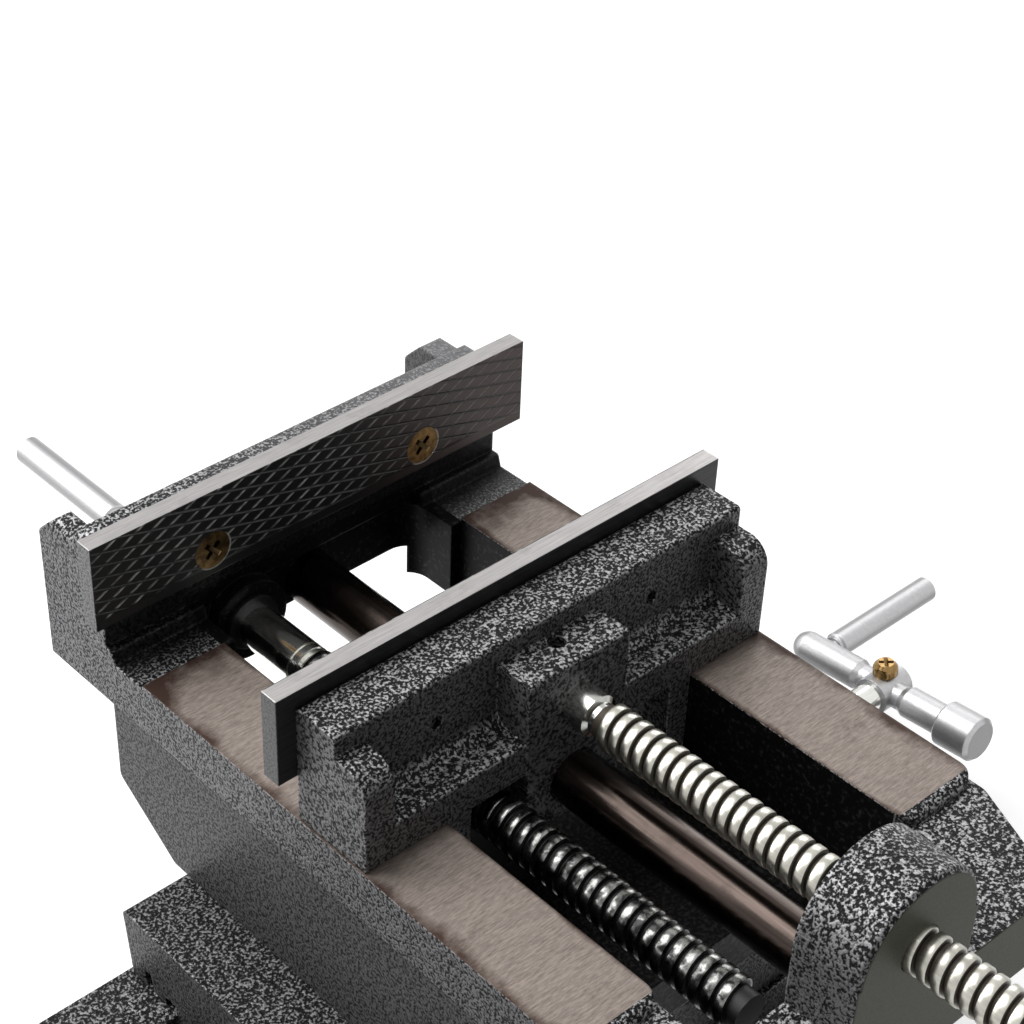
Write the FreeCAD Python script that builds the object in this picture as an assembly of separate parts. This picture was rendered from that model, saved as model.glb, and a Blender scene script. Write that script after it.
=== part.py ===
import FreeCAD
import Part

import math
import os

# Cross slide vise, millimetres, Z up. X is the cross travel, Y the long travel, jaws face along Y.
# The origin is the centre of the base's underside.

V = FreeCAD.Vector

# Fits
slide_gap = 0.1
jaw_gap = 0.3
running_gap = 0.1
floor_gap = 0.3

# Base casting
base_length = 250.0
base_width = 121.0
base_height = 32.0
base_corner = 4.0
ledge_depth = 22.5
dovetail_angle = 60.0
cross_depth = 14.0
lug_reach = 25.0
lug_width = 30.0
lug_thickness = 12.0
lug_corner = 8.0
table_slot_width = 13.0
table_slot_length = 20.0
table_slot_pitch_x = 90.0
table_slot_edge = 12.5

# Gibs and the screws that press them
gib_thickness = 4.0
gib_end_gap = 0.5
gib_screw_d = 6.0
gib_screw_count = 3
gib_screw_bite = 1.0
gib_nut_flats = 10.0
gib_nut_height = 5.0
gib_screw_stand_out = 3.0
cross_gib_screw_pitch = 70.0
long_gib_screw_pitch = 48.0
long_gib_screw_shift = -8.0
hex_key_flats = 3.0
hex_key_depth = 3.0

# Saddle casting between base and vise bed
saddle_length = 182.0
saddle_overhang = 1.0
saddle_height = 23.0
saddle_draft = 2.8
saddle_top_edge = 1.5
tunnel_width = 32.0
tunnel_head_room = 11.0
foot_width = 6.4
groove_width = 3.8
groove_slant = 1.4
groove_depth = 6.0
inner_foot_width = 5.0
inner_groove_depth = 3.0

# Vise bed and fixed jaw, one casting
bed_half_width = 70.5
bed_height = 60.8
skirt_step = 0.8
rail_depth = 26.5
slot_half_width = 43.2
slot_front_y = -107.5
slot_rear_y = 92.0
slot_corner = 8.0
long_neck_step = 0.8
long_depth = 16.3
way_front_y = -87.5
way_rear_y = 73.9
way_front_round = 3.4
way_corner = 6.0
land_drop = 1.2
land_overhang = 3.7
bed_front_y = -126.5
bed_rear_y = 118.5
bed_rear_corner = 1.0
bed_front_corner = 1.0
shoulder_corner = 6.0
shoulder_bend = 12.0
skirt_round_low = 2.0
skirt_round_high = 3.0
slot_front_corner = 2.0
shoulder_drop = 3.5
shoulder_start_y = -93.5
shoulder_mid_y = -111.5
shoulder_mid_half = 62.7
shoulder_front_half = 57.0
band_depth = 16.5
skirt_front_y = -101.5
skirt_rear_y = 90.2
skirt_slant_height = 16.5
skirt_slant_front = 20.0
skirt_slant_rear = 24.1
boss_r = 21.0
boss_front_bevel = 1.2
wall_top_drop = 5.2
wall_thickness = 11.4
wall_foot_height = 2.7
wall_foot_y = 86.5
wall_foot_slant = 1.2
wall_top_round = 2.0
wall_end_round = 5.0
rib_width = 7.0
right_rib_width = 10.5
rib_drop = 2.8
rib_round = 7.0
rib_foot_y = 121.0
rib_seat = 2.0
rib_outer_round = 5.0
rib_inner_round = 1.5
rear_ledge = 2.2

# Jaw plates
plate_length = 152.0
plate_height = 27.0
plate_thickness = 5.6
plate_top_rise = 41.5
fixed_plate_y = 84.8
jaw_opening = 70.9
plate_screw_pitch = 75.0
plate_screw_drop = 19.0
plate_screw_d = 6.0
plate_screw_head_d = 11.5
plate_screw_length = 16.0
plate_recess_span = 6.4
plate_recess_width = 1.5
plate_recess_depth = 2.6
wall_drill_d = 4.0

# Moving jaw casting
jaw_inset = 0.5
jaw_wall = 14.2
jaw_foot_reach = 25.4
jaw_ledge_height = 11.0
jaw_ledge_fillet = 5.0
jaw_rib_width = 9.4
jaw_rib_height = 30.0
jaw_rib_round = 7.0
jaw_boss_half = 17.3
jaw_boss_height = 29.7
jaw_boss_reach = 25.8
jaw_edge_round = 1.2
stem_half = 16.4
stem_depth = 22.0
jaw_lug_width = 7.7
lug_play = 0.1
lug_stop_gap = 0.5
jaw_close_gap = 0.1
keeper_side_gap = 1.2
keeper_thickness = 5.0
keeper_screw_d = 4.0
keeper_screw_head_d = 7.0
keeper_screw_head = 3.0
keeper_screw_length = 14.0
set_screw_d = 5.0
set_screw_length = 6.0
set_screw_back = 17.1
set_screw_tip_d = 3.0
set_screw_key_flats = 2.4

# Vise screw
vise_axis_height = 15.5
vise_screw_d = 12.4
vise_screw_pitch = 4.0
thread_depth = 1.7
thread_crest = 2.3
thread_root = 1.0
vise_nose_d = 12.0
vise_nose_depth = 21.5
vise_nose_bevel = 1.0
vise_neck = 9.4
vise_thread_length = 176.0
nose_groove_d = 9.0
nose_groove_width = 4.0

# Guide rod
rod_d = 16.0
rod_drop = 9.6
rod_seat = 15.0

# Long screw, which moves the bed over the saddle
long_x = -25.0
long_screw_d = 13.4
long_journal_d = 13.0
long_boss_d = 25.5
long_boss_reach = 6.0
long_thread_front_y = -101.5
long_thread_rear_y = 58.0
long_ring_length = 2.6
long_ring_groove = 1.2
long_ring_groove_d = 10.6
long_shoulder_groove = 0.5
long_shoulder_groove_d = 11.8
ring_d = 17.0
ring_thickness = 1.2
ring_neck_d = 10.0
long_nut_y = -2.0
long_nut_length = 20.0
long_nut_width = 16.2
long_nut_flange = 42.0
long_nut_flange_height = 9.0
long_nut_head_room = 0.8

# Cross screw, which moves the saddle over the base
cross_screw_d = 13.4
cross_axis_rise = 1.2
cross_journal_d = 10.0
cross_thread_start_x = -100.0
cross_collar_length = 5.0
cross_collar_d = 18.0
cross_nut_length = 26.0
cross_nut_depth_below = 12.0
bracket_thickness = 10.0
bracket_half_width = 28.0
bracket_foot_height = 18.0
bracket_arch_r = 13.0
bracket_foot_z = 2.0
bracket_screw_pitch = 40.0
bracket_screw_z = 9.5
bracket_foot_round = 2.0
bracket_shoulder_round = 4.0

# Cap screws, shared by bracket and nuts
cap_screw_d = 6.0
cap_head_d = 10.0
cap_head_height = 6.0
bracket_screw_bite = 8.0
nut_screw_bite = 10.0
drill_extra = 2.0
cap_key_flats = 5.0
cap_key_depth = 3.0
nut_screw_d = 5.0
nut_head_d = 8.5
nut_head_height = 5.0
nut_head_wall = 1.5
nut_edge_round = 1.0
nut_top_round = 3.0

# Cranks, all alike
dial_d = 24.0
dial_length = 4.2
dial_gap = 0.2
shaft_d = 10.0
crank_arm_d = 10.3
crank_neck_d = 8.4
crank_hub_d = 12.4
crank_bore_d = 8.0
crank_hub_length = 13.0
crank_tip_reach = 31.0
crank_bar_reach = 30.2
crank_grip_offset = 25.2
crank_cap_d = 14.8
crank_cap_length = 13.4
crank_cap_socket = 6.0
crank_cap_bevel = 1.2
crank_grip_d = 8.6
crank_grip_length = 53.0
crank_grip_stub_d = 5.0
crank_grip_end_bevel = 0.8
crank_seam = 0.2
crank_neck_reach = 4.0
crank_neck_taper = 2.0
grip_rivet_drop = 2.0
grip_neck_drop = 0.7
grip_neck_length = 1.0
grip_neck_taper = 0.6
lock_screw_d = 4.0
lock_head_d = 8.0
lock_head_height = 4.2
lock_head_crown = 1.2
lock_head_crown_inset = 1.4
lock_head_rim = 0.8
lock_head_rim_inset = 0.3
lock_recess_span = 4.8
lock_recess_width = 1.2
lock_recess_depth = 1.8
cross_crank_gap = 25.0
cross_crank_tilt = -4.8
long_crank_gap = 15.0
long_crank_tilt = 128.0
vise_crank_gap = 10.8
vise_crank_tilt = 60.0

# Levels and places worked out from the sizes above
slope = 1.0 / math.tan(math.radians(dovetail_angle))
flat_gap = slide_gap / math.sin(math.radians(dovetail_angle))
gib_across = gib_thickness / math.sin(math.radians(dovetail_angle))
base_top = base_height
channel_floor = base_top - cross_depth
cross_neck_half = base_width / 2 - ledge_depth
table_slot_y = base_width / 2 + lug_reach - table_slot_edge
saddle_width = base_width + 2 * saddle_overhang
saddle_bottom = base_top + slide_gap
saddle_top = saddle_bottom + saddle_height
bed_bottom = saddle_top + slide_gap
way_top = bed_bottom + bed_height
rail_bottom = way_top - rail_depth
pocket_floor = bed_bottom + long_depth
band_bottom = way_top - band_depth
jaw_bottom = way_top + jaw_gap
plate_top = way_top + plate_top_rise
plate_bottom = plate_top - plate_height
plate_screw_z = plate_top - plate_screw_drop
casting_top = plate_top - wall_top_drop
fixed_back_y = fixed_plate_y + plate_thickness
wall_rear_y = fixed_back_y + wall_thickness
rear_face_y = wall_rear_y + rear_ledge
long_crank_y = rear_face_y + long_crank_gap
moving_face_y = fixed_plate_y - jaw_opening
moving_back_y = moving_face_y - plate_thickness
jaw_wall_y = moving_back_y - jaw_wall
jaw_foot_y = moving_back_y - jaw_foot_reach
jaw_boss_y = moving_back_y - jaw_boss_reach
vise_z = way_top + vise_axis_height
rod_z = way_top - rod_drop
cross_z = base_top + cross_axis_rise
tunnel_top = cross_z + tunnel_head_room
skirt_half_width = bed_half_width - skirt_step
nose_tip_y = jaw_boss_y + vise_nose_depth
jaw_half_width = bed_half_width - jaw_inset
thread_start_y = jaw_boss_y - vise_neck
thread_end_y = thread_start_y - vise_thread_length
vise_crank_y = thread_end_y - vise_crank_gap
long_nut_low_y = long_nut_y - long_nut_length / 2
long_nut_high_y = long_nut_y + long_nut_length / 2
male_top = pocket_floor - floor_gap
male_bottom = channel_floor + floor_gap
bracket_x = base_length / 2
lug_rear_y = way_rear_y - (jaw_opening - jaw_close_gap) - lug_stop_gap
bracket_outer_x = bracket_x + bracket_thickness
cross_crank_x = bracket_outer_x + cross_crank_gap
long_neck_half = slot_half_width + long_neck_step
pocket_half = long_neck_half + long_depth * slope
lug_inner_half = slot_half_width - jaw_lug_width
long_boss_y = slot_rear_y - long_boss_reach


def box(x0, x1, y0, y1, z0, z1):
    return Part.makeBox(x1 - x0, y1 - y0, z1 - z0, V(x0, y0, z0))


def cylinder(diameter, start, direction, length):
    return Part.makeCylinder(diameter / 2, length, start, direction)


def corner_face(corners, place):
    """Flat face with a corner for each (u, v, radius); place turns u and v into a point."""
    edges = []
    exits = []
    entries = []
    count = len(corners)
    for i in range(count):
        u, v, radius = corners[i]
        here = V(u, v, 0)
        if radius == 0:
            entries.append(here)
            exits.append(here)
            edges.append(None)
            continue
        back = V(corners[i - 1][0], corners[i - 1][1], 0) - here
        ahead = V(corners[(i + 1) % count][0], corners[(i + 1) % count][1], 0) - here
        back.normalize()
        ahead.normalize()
        half = back.getAngle(ahead) / 2
        bisector = back + ahead
        bisector.normalize()
        centre = here + bisector * (radius / math.sin(half))
        entry = here + back * (radius / math.tan(half))
        leave = here + ahead * (radius / math.tan(half))
        entries.append(entry)
        exits.append(leave)
        middle = centre - bisector * radius
        edges.append(Part.Arc(place(entry), place(middle), place(leave)).toShape())
    path = []
    for i in range(count):
        if exits[i - 1].distanceToPoint(entries[i]) > 1e-6:
            path.append(Part.LineSegment(place(exits[i - 1]), place(entries[i])).toShape())
        if edges[i] is not None:
            path.append(edges[i])
    return Part.Face(Part.Wire(path))


def prism_x(corners, x0, x1):
    return corner_face(corners, lambda p: V(x0, p.x, p.y)).extrude(V(x1 - x0, 0, 0))


def prism_y(corners, y0, y1):
    return corner_face(corners, lambda p: V(p.x, y0, p.y)).extrude(V(0, y1 - y0, 0))


def prism_z(corners, z0, z1):
    return corner_face(corners, lambda p: V(p.x, p.y, z0)).extrude(V(0, 0, z1 - z0))


def joined(shapes):
    whole = shapes[0]
    for shape in shapes[1:]:
        whole = whole.fuse(shape)
    return whole.removeSplitter()


def mirror_x(shape):
    return shape.mirror(V(0, 0, 0), V(1, 0, 0))


def turned(profile, start, direction):
    """Solid of revolution; profile holds (distance along the axis, radius) points from axis to axis."""
    points = [V(radius, 0, along) for along, radius in profile]
    solid = Part.Face(Part.makePolygon(points + points[:1])).revolve(V(0, 0, 0), V(0, 0, 1), 360)
    turn = FreeCAD.Rotation(V(0, 0, 1), direction)
    solid.Placement = FreeCAD.Placement(start, turn)
    return solid


def hex_prism(flats, start, direction, length):
    corner_r = flats / math.sqrt(3)
    points = []
    for i in range(7):
        angle = math.radians(60 * i)
        points.append(V(corner_r * math.cos(angle), corner_r * math.sin(angle), 0))
    solid = Part.Face(Part.makePolygon(points)).extrude(V(0, 0, length))
    solid.Placement = FreeCAD.Placement(start, FreeCAD.Rotation(V(0, 0, 1), direction))
    return solid


def cap_screw(diameter, head_d, head_height, grip, head_top, direction):
    """Socket head cap screw; direction points from the head to the tip."""
    head = cylinder(head_d, head_top, direction, head_height)
    shank = cylinder(diameter, head_top + direction * head_height, direction, grip)
    key = hex_prism(cap_key_flats * diameter / cap_screw_d, head_top, direction, cap_key_depth)
    return head.fuse(shank).cut(key)


def cross_recess(span, width, depth, top, direction):
    """Tapered cross recess of a pan or countersunk head, opening at top."""
    arms = []
    for angle in (45, 135):
        arm = Part.makeWedge(-span / 2, 0, -width / 2, -width / 2, -span / 5, span / 2, depth,
                             width / 2, width / 2, span / 5)
        arm.rotate(V(0, 0, 0), V(1, 0, 0), 90)
        arm.rotate(V(0, 0, 0), V(0, 0, 1), angle)
        arms.append(arm)
    tool = arms[0].fuse(arms[1])
    tool.Placement = FreeCAD.Placement(top, FreeCAD.Rotation(V(0, 0, 1), direction)).multiply(tool.Placement)
    return tool


def threaded(length, diameter):
    """Profile of a rod with a ridge at each pitch, from the start of the thread to its end."""
    profile = []
    pitch = vise_screw_pitch
    flank = (pitch - thread_crest - thread_root) / 2
    crest_r = diameter / 2
    root_r = crest_r - thread_depth
    for i in range(int(round(length / pitch))):
        at = i * pitch
        profile.append((at, root_r))
        profile.append((at + thread_root, root_r))
        profile.append((at + thread_root + flank, crest_r))
        profile.append((at + thread_root + flank + thread_crest, crest_r))
    profile.append((length, root_r))
    return profile


def base():
    half_l = base_length / 2
    half_w = base_width / 2
    floor_half = cross_neck_half + cross_depth * slope
    body = prism_z([(-half_l, -half_w, base_corner), (half_l, -half_w, base_corner),
                    (half_l, half_w, base_corner), (-half_l, half_w, base_corner)], 0, base_height)
    for side in (-1, 1):
        for end in (-1, 1):
            middle = end * table_slot_pitch_x / 2
            outer = side * (half_w + lug_reach)
            low = middle - lug_width / 2
            high = middle + lug_width / 2
            inner = side * (half_w - 1)
            lug = prism_z([(low, inner, 0), (high, inner, 0), (high, outer, lug_corner),
                           (low, outer, lug_corner)], 0, lug_thickness)
            body = body.fuse(lug)
    channel = prism_x([(cross_neck_half, base_top, 0), (floor_half, channel_floor, 0),
                       (-floor_half - gib_across, channel_floor, 0),
                       (-cross_neck_half - gib_across, base_top, 0)], -half_l, half_l)
    body = body.cut(channel)
    slot_r = table_slot_width / 2
    run = (table_slot_length - table_slot_width) / 2
    for side in (-1, 1):
        for end in (-1, 1):
            x = end * table_slot_pitch_x / 2
            y = side * table_slot_y
            for step in (-run, run):
                body = body.cut(cylinder(table_slot_width, V(x + step, y, 0), V(0, 0, 1), lug_thickness))
            body = body.cut(box(x - run, x + run, y - slot_r, y + slot_r, 0, lug_thickness))
    for side in (-1, 1):
        hole = cylinder(cap_screw_d, V(half_l, side * bracket_screw_pitch / 2, bracket_screw_z),
                        V(-1, 0, 0), bracket_screw_bite + drill_extra)
        body = body.cut(hole)
    for screw in cross_gib_screw_rods():
        body = body.cut(screw)
    return body.removeSplitter()


def bracket():
    arch = cylinder(2 * bracket_arch_r, V(bracket_x, 0, cross_z), V(1, 0, 0), bracket_thickness)
    neck = box(bracket_x, bracket_outer_x, -bracket_arch_r, bracket_arch_r, bracket_foot_z, cross_z)
    wide = bracket_half_width
    low = bracket_foot_round
    high = bracket_shoulder_round
    foot = prism_x([(-wide, bracket_foot_z, low), (wide, bracket_foot_z, low),
                    (wide, bracket_foot_height, high),
                    (-wide, bracket_foot_height, high)], bracket_x, bracket_outer_x)
    body = joined([arch, neck, foot])
    body = body.cut(cylinder(cross_journal_d + 2 * running_gap, V(bracket_x, 0, cross_z), V(1, 0, 0),
                             bracket_thickness))
    for side in (-1, 1):
        start = V(bracket_x, side * bracket_screw_pitch / 2, bracket_screw_z)
        body = body.cut(cylinder(cap_screw_d, start, V(1, 0, 0), bracket_thickness))
    return body


def bracket_screws():
    screws = []
    for side in (-1, 1):
        top = V(bracket_outer_x + cap_head_height, side * bracket_screw_pitch / 2, bracket_screw_z)
        screws.append(cap_screw(cap_screw_d, cap_head_d, cap_head_height,
                                bracket_thickness + bracket_screw_bite,
                                top, V(-1, 0, 0)))
    return Part.Compound(screws)


def cross_gib_places():
    return [(i - (gib_screw_count - 1) / 2) * cross_gib_screw_pitch for i in range(gib_screw_count)]


def long_gib_places():
    return [(i - (gib_screw_count - 1) / 2) * long_gib_screw_pitch + long_gib_screw_shift
            for i in range(gib_screw_count)]


def cross_gib_screw_rods():
    height = (base_top + channel_floor) / 2
    outer = -base_width / 2 - gib_nut_height - gib_screw_stand_out
    face = -cross_neck_half - gib_across - (base_top - height) * slope
    reach = face + gib_screw_bite - outer
    return [cylinder(gib_screw_d, V(x, outer, height), V(0, 1, 0), reach) for x in cross_gib_places()]


def long_gib_screw_rods():
    height = (bed_bottom + pocket_floor) / 2
    outer = skirt_half_width + gib_nut_height + gib_screw_stand_out
    face = long_neck_half + gib_across + (height - bed_bottom) * slope
    reach = outer - face + gib_screw_bite
    return [cylinder(gib_screw_d, V(outer, y, height), V(-1, 0, 0), reach) for y in long_gib_places()]


def with_hex_keys(rods, direction):
    screws = []
    for rod in rods:
        ends = [vertex.Point for vertex in rod.Vertexes]
        start = min(ends, key=lambda point: point.dot(direction))
        bounds = rod.BoundBox
        centre = V(bounds.Center)
        centre = centre + direction * (start.dot(direction) - centre.dot(direction))
        screws.append(rod.cut(hex_prism(hex_key_flats, centre, direction, hex_key_depth)))
    return Part.Compound(screws)


def cross_gib():
    floor = channel_floor + floor_gap
    top = base_top - gib_end_gap
    low = -cross_neck_half - (base_top - floor) * slope
    high = -cross_neck_half - (base_top - top) * slope
    half = saddle_length / 2
    body = prism_x([(low, floor, 0), (high, top, 0),
                    (high - gib_across, top, 0), (low - gib_across, floor, 0)],
                   -half, half)
    for screw in cross_gib_screw_rods():
        body = body.cut(screw)
    return body


def long_gib():
    low = bed_bottom + gib_end_gap
    top = pocket_floor - floor_gap
    inner_low = long_neck_half + (low - bed_bottom) * slope
    inner_top = long_neck_half + (top - bed_bottom) * slope
    front = skirt_front_y + skirt_slant_front + gib_end_gap
    rear = skirt_rear_y - skirt_slant_rear - gib_end_gap
    body = prism_y([(inner_low, low, 0), (inner_top, top, 0), (inner_top + gib_across, top, 0),
                    (inner_low + gib_across, low, 0)], front, rear)
    for screw in long_gib_screw_rods():
        body = body.cut(screw)
    return body


def cross_gib_nuts():
    height = (base_top + channel_floor) / 2
    nuts = []
    for x in cross_gib_places():
        start = V(x, -base_width / 2, height)
        nut = hex_prism(gib_nut_flats, start, V(0, -1, 0), gib_nut_height)
        nuts.append(nut.cut(cylinder(gib_screw_d, start, V(0, -1, 0), gib_nut_height)))
    return Part.Compound(nuts)


def long_gib_nuts():
    height = (bed_bottom + pocket_floor) / 2
    nuts = []
    for y in long_gib_places():
        start = V(skirt_half_width, y, height)
        nut = hex_prism(gib_nut_flats, start, V(1, 0, 0), gib_nut_height)
        nuts.append(nut.cut(cylinder(gib_screw_d, start, V(1, 0, 0), gib_nut_height)))
    return Part.Compound(nuts)


def cross_nut_screw_places():
    return [(side * (tunnel_width / 2 - nut_screw_d), 0) for side in (-1, 1)]


def long_nut_screw_places():
    out = long_nut_flange / 2 - nut_head_d / 2 - nut_head_wall
    return [(long_x + side * out, long_nut_y) for side in (-1, 1)]


def saddle():
    half_w = saddle_width / 2
    low_half = half_w - saddle_draft
    groove_out = low_half - foot_width
    groove_in = groove_out - groove_width
    inner_out = groove_in - inner_foot_width
    rear = [(low_half, saddle_bottom, 0), (half_w, saddle_top, saddle_top_edge)]
    front = [(-half_w, saddle_top, saddle_top_edge), (-low_half, saddle_bottom, 0)]
    block = prism_x(rear + front, -saddle_length / 2, saddle_length / 2)
    for side in (-1, 1):
        groove = prism_x([(side * groove_out, saddle_bottom, 0),
                          (side * (groove_out + groove_slant), saddle_bottom + groove_depth, 0),
                          (side * (groove_in + groove_slant), saddle_bottom + groove_depth, 0),
                          (side * groove_in, saddle_bottom, 0)], -saddle_length / 2, saddle_length / 2)
        block = block.cut(groove)
    block = block.cut(box(-saddle_length / 2, saddle_length / 2, cross_neck_half, inner_out,
                          saddle_bottom, saddle_bottom + inner_groove_depth))
    block = block.cut(box(-saddle_length / 2, saddle_length / 2, -inner_out, -cross_neck_half - flat_gap,
                          saddle_bottom, saddle_bottom + inner_groove_depth))
    neck = cross_neck_half - flat_gap
    wide = neck + (base_top - male_bottom) * slope
    lower = prism_x([(neck - slide_gap * slope, saddle_bottom, 0), (wide, male_bottom, 0),
                     (-wide, male_bottom, 0), (-neck + slide_gap * slope, saddle_bottom, 0)],
                    -saddle_length / 2, saddle_length / 2)
    neck = long_neck_half - flat_gap
    wide = neck + (male_top - bed_bottom) * slope
    upper = prism_y([(-neck + slide_gap * slope, saddle_top, 0), (-wide, male_top, 0), (wide, male_top, 0),
                     (neck - slide_gap * slope, saddle_top, 0)], -half_w, half_w)
    body = joined([block, lower, upper])
    body = body.cut(box(-saddle_length / 2, saddle_length / 2, -tunnel_width / 2, tunnel_width / 2,
                        male_bottom, tunnel_top))
    for y, _ in cross_nut_screw_places():
        body = body.cut(cylinder(nut_screw_d, V(0, y, tunnel_top), V(0, 0, 1), nut_screw_bite + drill_extra))
    for x, y in long_nut_screw_places():
        body = body.cut(cylinder(nut_screw_d, V(x, y, male_top), V(0, 0, -1), nut_screw_bite + drill_extra))
    return body


def cross_nut():
    half = cross_nut_length / 2
    low = cross_z - cross_nut_depth_below
    side = tunnel_width / 2
    body = prism_x([(-side, low, nut_edge_round), (side, low, nut_edge_round), (side, tunnel_top, 0),
                    (-side, tunnel_top, 0)],
                   -half, half)
    body = body.cut(cylinder(cross_screw_d + 2 * running_gap, V(-half, 0, cross_z), V(1, 0, 0), 2 * half))
    for y, x in cross_nut_screw_places():
        body = body.cut(cylinder(nut_screw_d, V(x, y, low), V(0, 0, 1), tunnel_top - low))
        body = body.cut(cylinder(nut_head_d, V(x, y, low), V(0, 0, 1), nut_head_height))
    return body


def cross_nut_screws():
    low = cross_z - cross_nut_depth_below
    grip = tunnel_top - low - nut_head_height + nut_screw_bite
    screws = []
    for y, x in cross_nut_screw_places():
        screws.append(cap_screw(nut_screw_d, nut_head_d, nut_head_height, grip, V(x, y, low), V(0, 0, 1)))
    return Part.Compound(screws)


def long_nut():
    flange_top = male_top + long_nut_flange_height
    top = way_top - long_nut_head_room
    half = long_nut_flange / 2
    flange = box(long_x - half, long_x + half, long_nut_low_y, long_nut_high_y, male_top, flange_top)
    left = long_x - long_nut_width / 2
    right = long_x + long_nut_width / 2
    post = prism_y([(left, male_top, 0), (right, male_top, 0), (right, top, nut_top_round),
                    (left, top, nut_top_round)], long_nut_low_y, long_nut_high_y)
    body = joined([flange, post])
    body = body.cut(cylinder(long_screw_d + 2 * running_gap, V(long_x, long_nut_low_y, rod_z), V(0, 1, 0),
                             long_nut_length))
    for x, y in long_nut_screw_places():
        body = body.cut(cylinder(nut_screw_d, V(x, y, male_top), V(0, 0, 1), long_nut_flange_height))
        body = body.cut(cylinder(nut_head_d, V(x, y, flange_top - nut_head_height), V(0, 0, 1),
                                 nut_head_height))
    return body


def long_nut_screws():
    flange_top = male_top + long_nut_flange_height
    grip = long_nut_flange_height - nut_head_height + nut_screw_bite
    screws = []
    for x, y in long_nut_screw_places():
        screws.append(cap_screw(nut_screw_d, nut_head_d, nut_head_height, grip, V(x, y, flange_top),
                                V(0, 0, -1)))
    return Part.Compound(screws)


def bed_plan(front):
    """Outline of the bed seen from above; front holds the corners ahead of the parallel sides."""
    wide = bed_half_width
    left = rib_width - wide
    right = wide - right_rib_width
    rear = [(wide, bed_rear_y, bed_rear_corner), (right, bed_rear_y, 0), (right, rear_face_y, 0),
            (left, rear_face_y, 0), (left, bed_rear_y, 0), (-wide, bed_rear_y, bed_rear_corner)]
    return rear + front


def bed_ways(shoulder_z):
    wide = bed_half_width
    slot = slot_half_width
    nose_y = way_front_y - way_front_round
    ways = prism_z(bed_plan([(-wide, nose_y, way_corner), (-slot, nose_y, way_corner), (-slot, way_rear_y, 0),
                             (slot, way_rear_y, 0), (slot, nose_y, way_corner), (wide, nose_y, way_corner)]),
                   shoulder_z, way_top)
    nose = box(-wide, wide, nose_y, way_front_y, way_top - way_front_round, way_top)
    nose = nose.cut(cylinder(2 * way_front_round, V(-wide, way_front_y, way_top - way_front_round),
                             V(1, 0, 0),
                             2 * wide))
    land = box(-wide, wide, way_rear_y, wall_foot_y + wall_foot_slant, way_top - land_drop, way_top)
    return ways.cut(nose).cut(land)


def bed_rib(width):
    """The right ear behind the fixed jaw, with its top edges rounded."""
    wide = bed_half_width
    rib_top = casting_top - rib_drop
    rib_front = fixed_back_y + rib_seat
    rib = prism_x([(rib_front, band_bottom, 0), (rib_front, rib_top, 0),
                   (bed_rear_y - rib_round, rib_top, rib_round / 2),
                   (bed_rear_y, rib_top - rib_round, rib_round / 2), (rib_foot_y, band_bottom, 0)],
                  wide - width, wide)
    return rib.common(prism_y([(wide - width, band_bottom, 0), (wide - width, rib_top, rib_inner_round),
                               (wide, rib_top, rib_outer_round), (wide, band_bottom, 0)],
                              rib_front, bed_rear_y))


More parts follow.
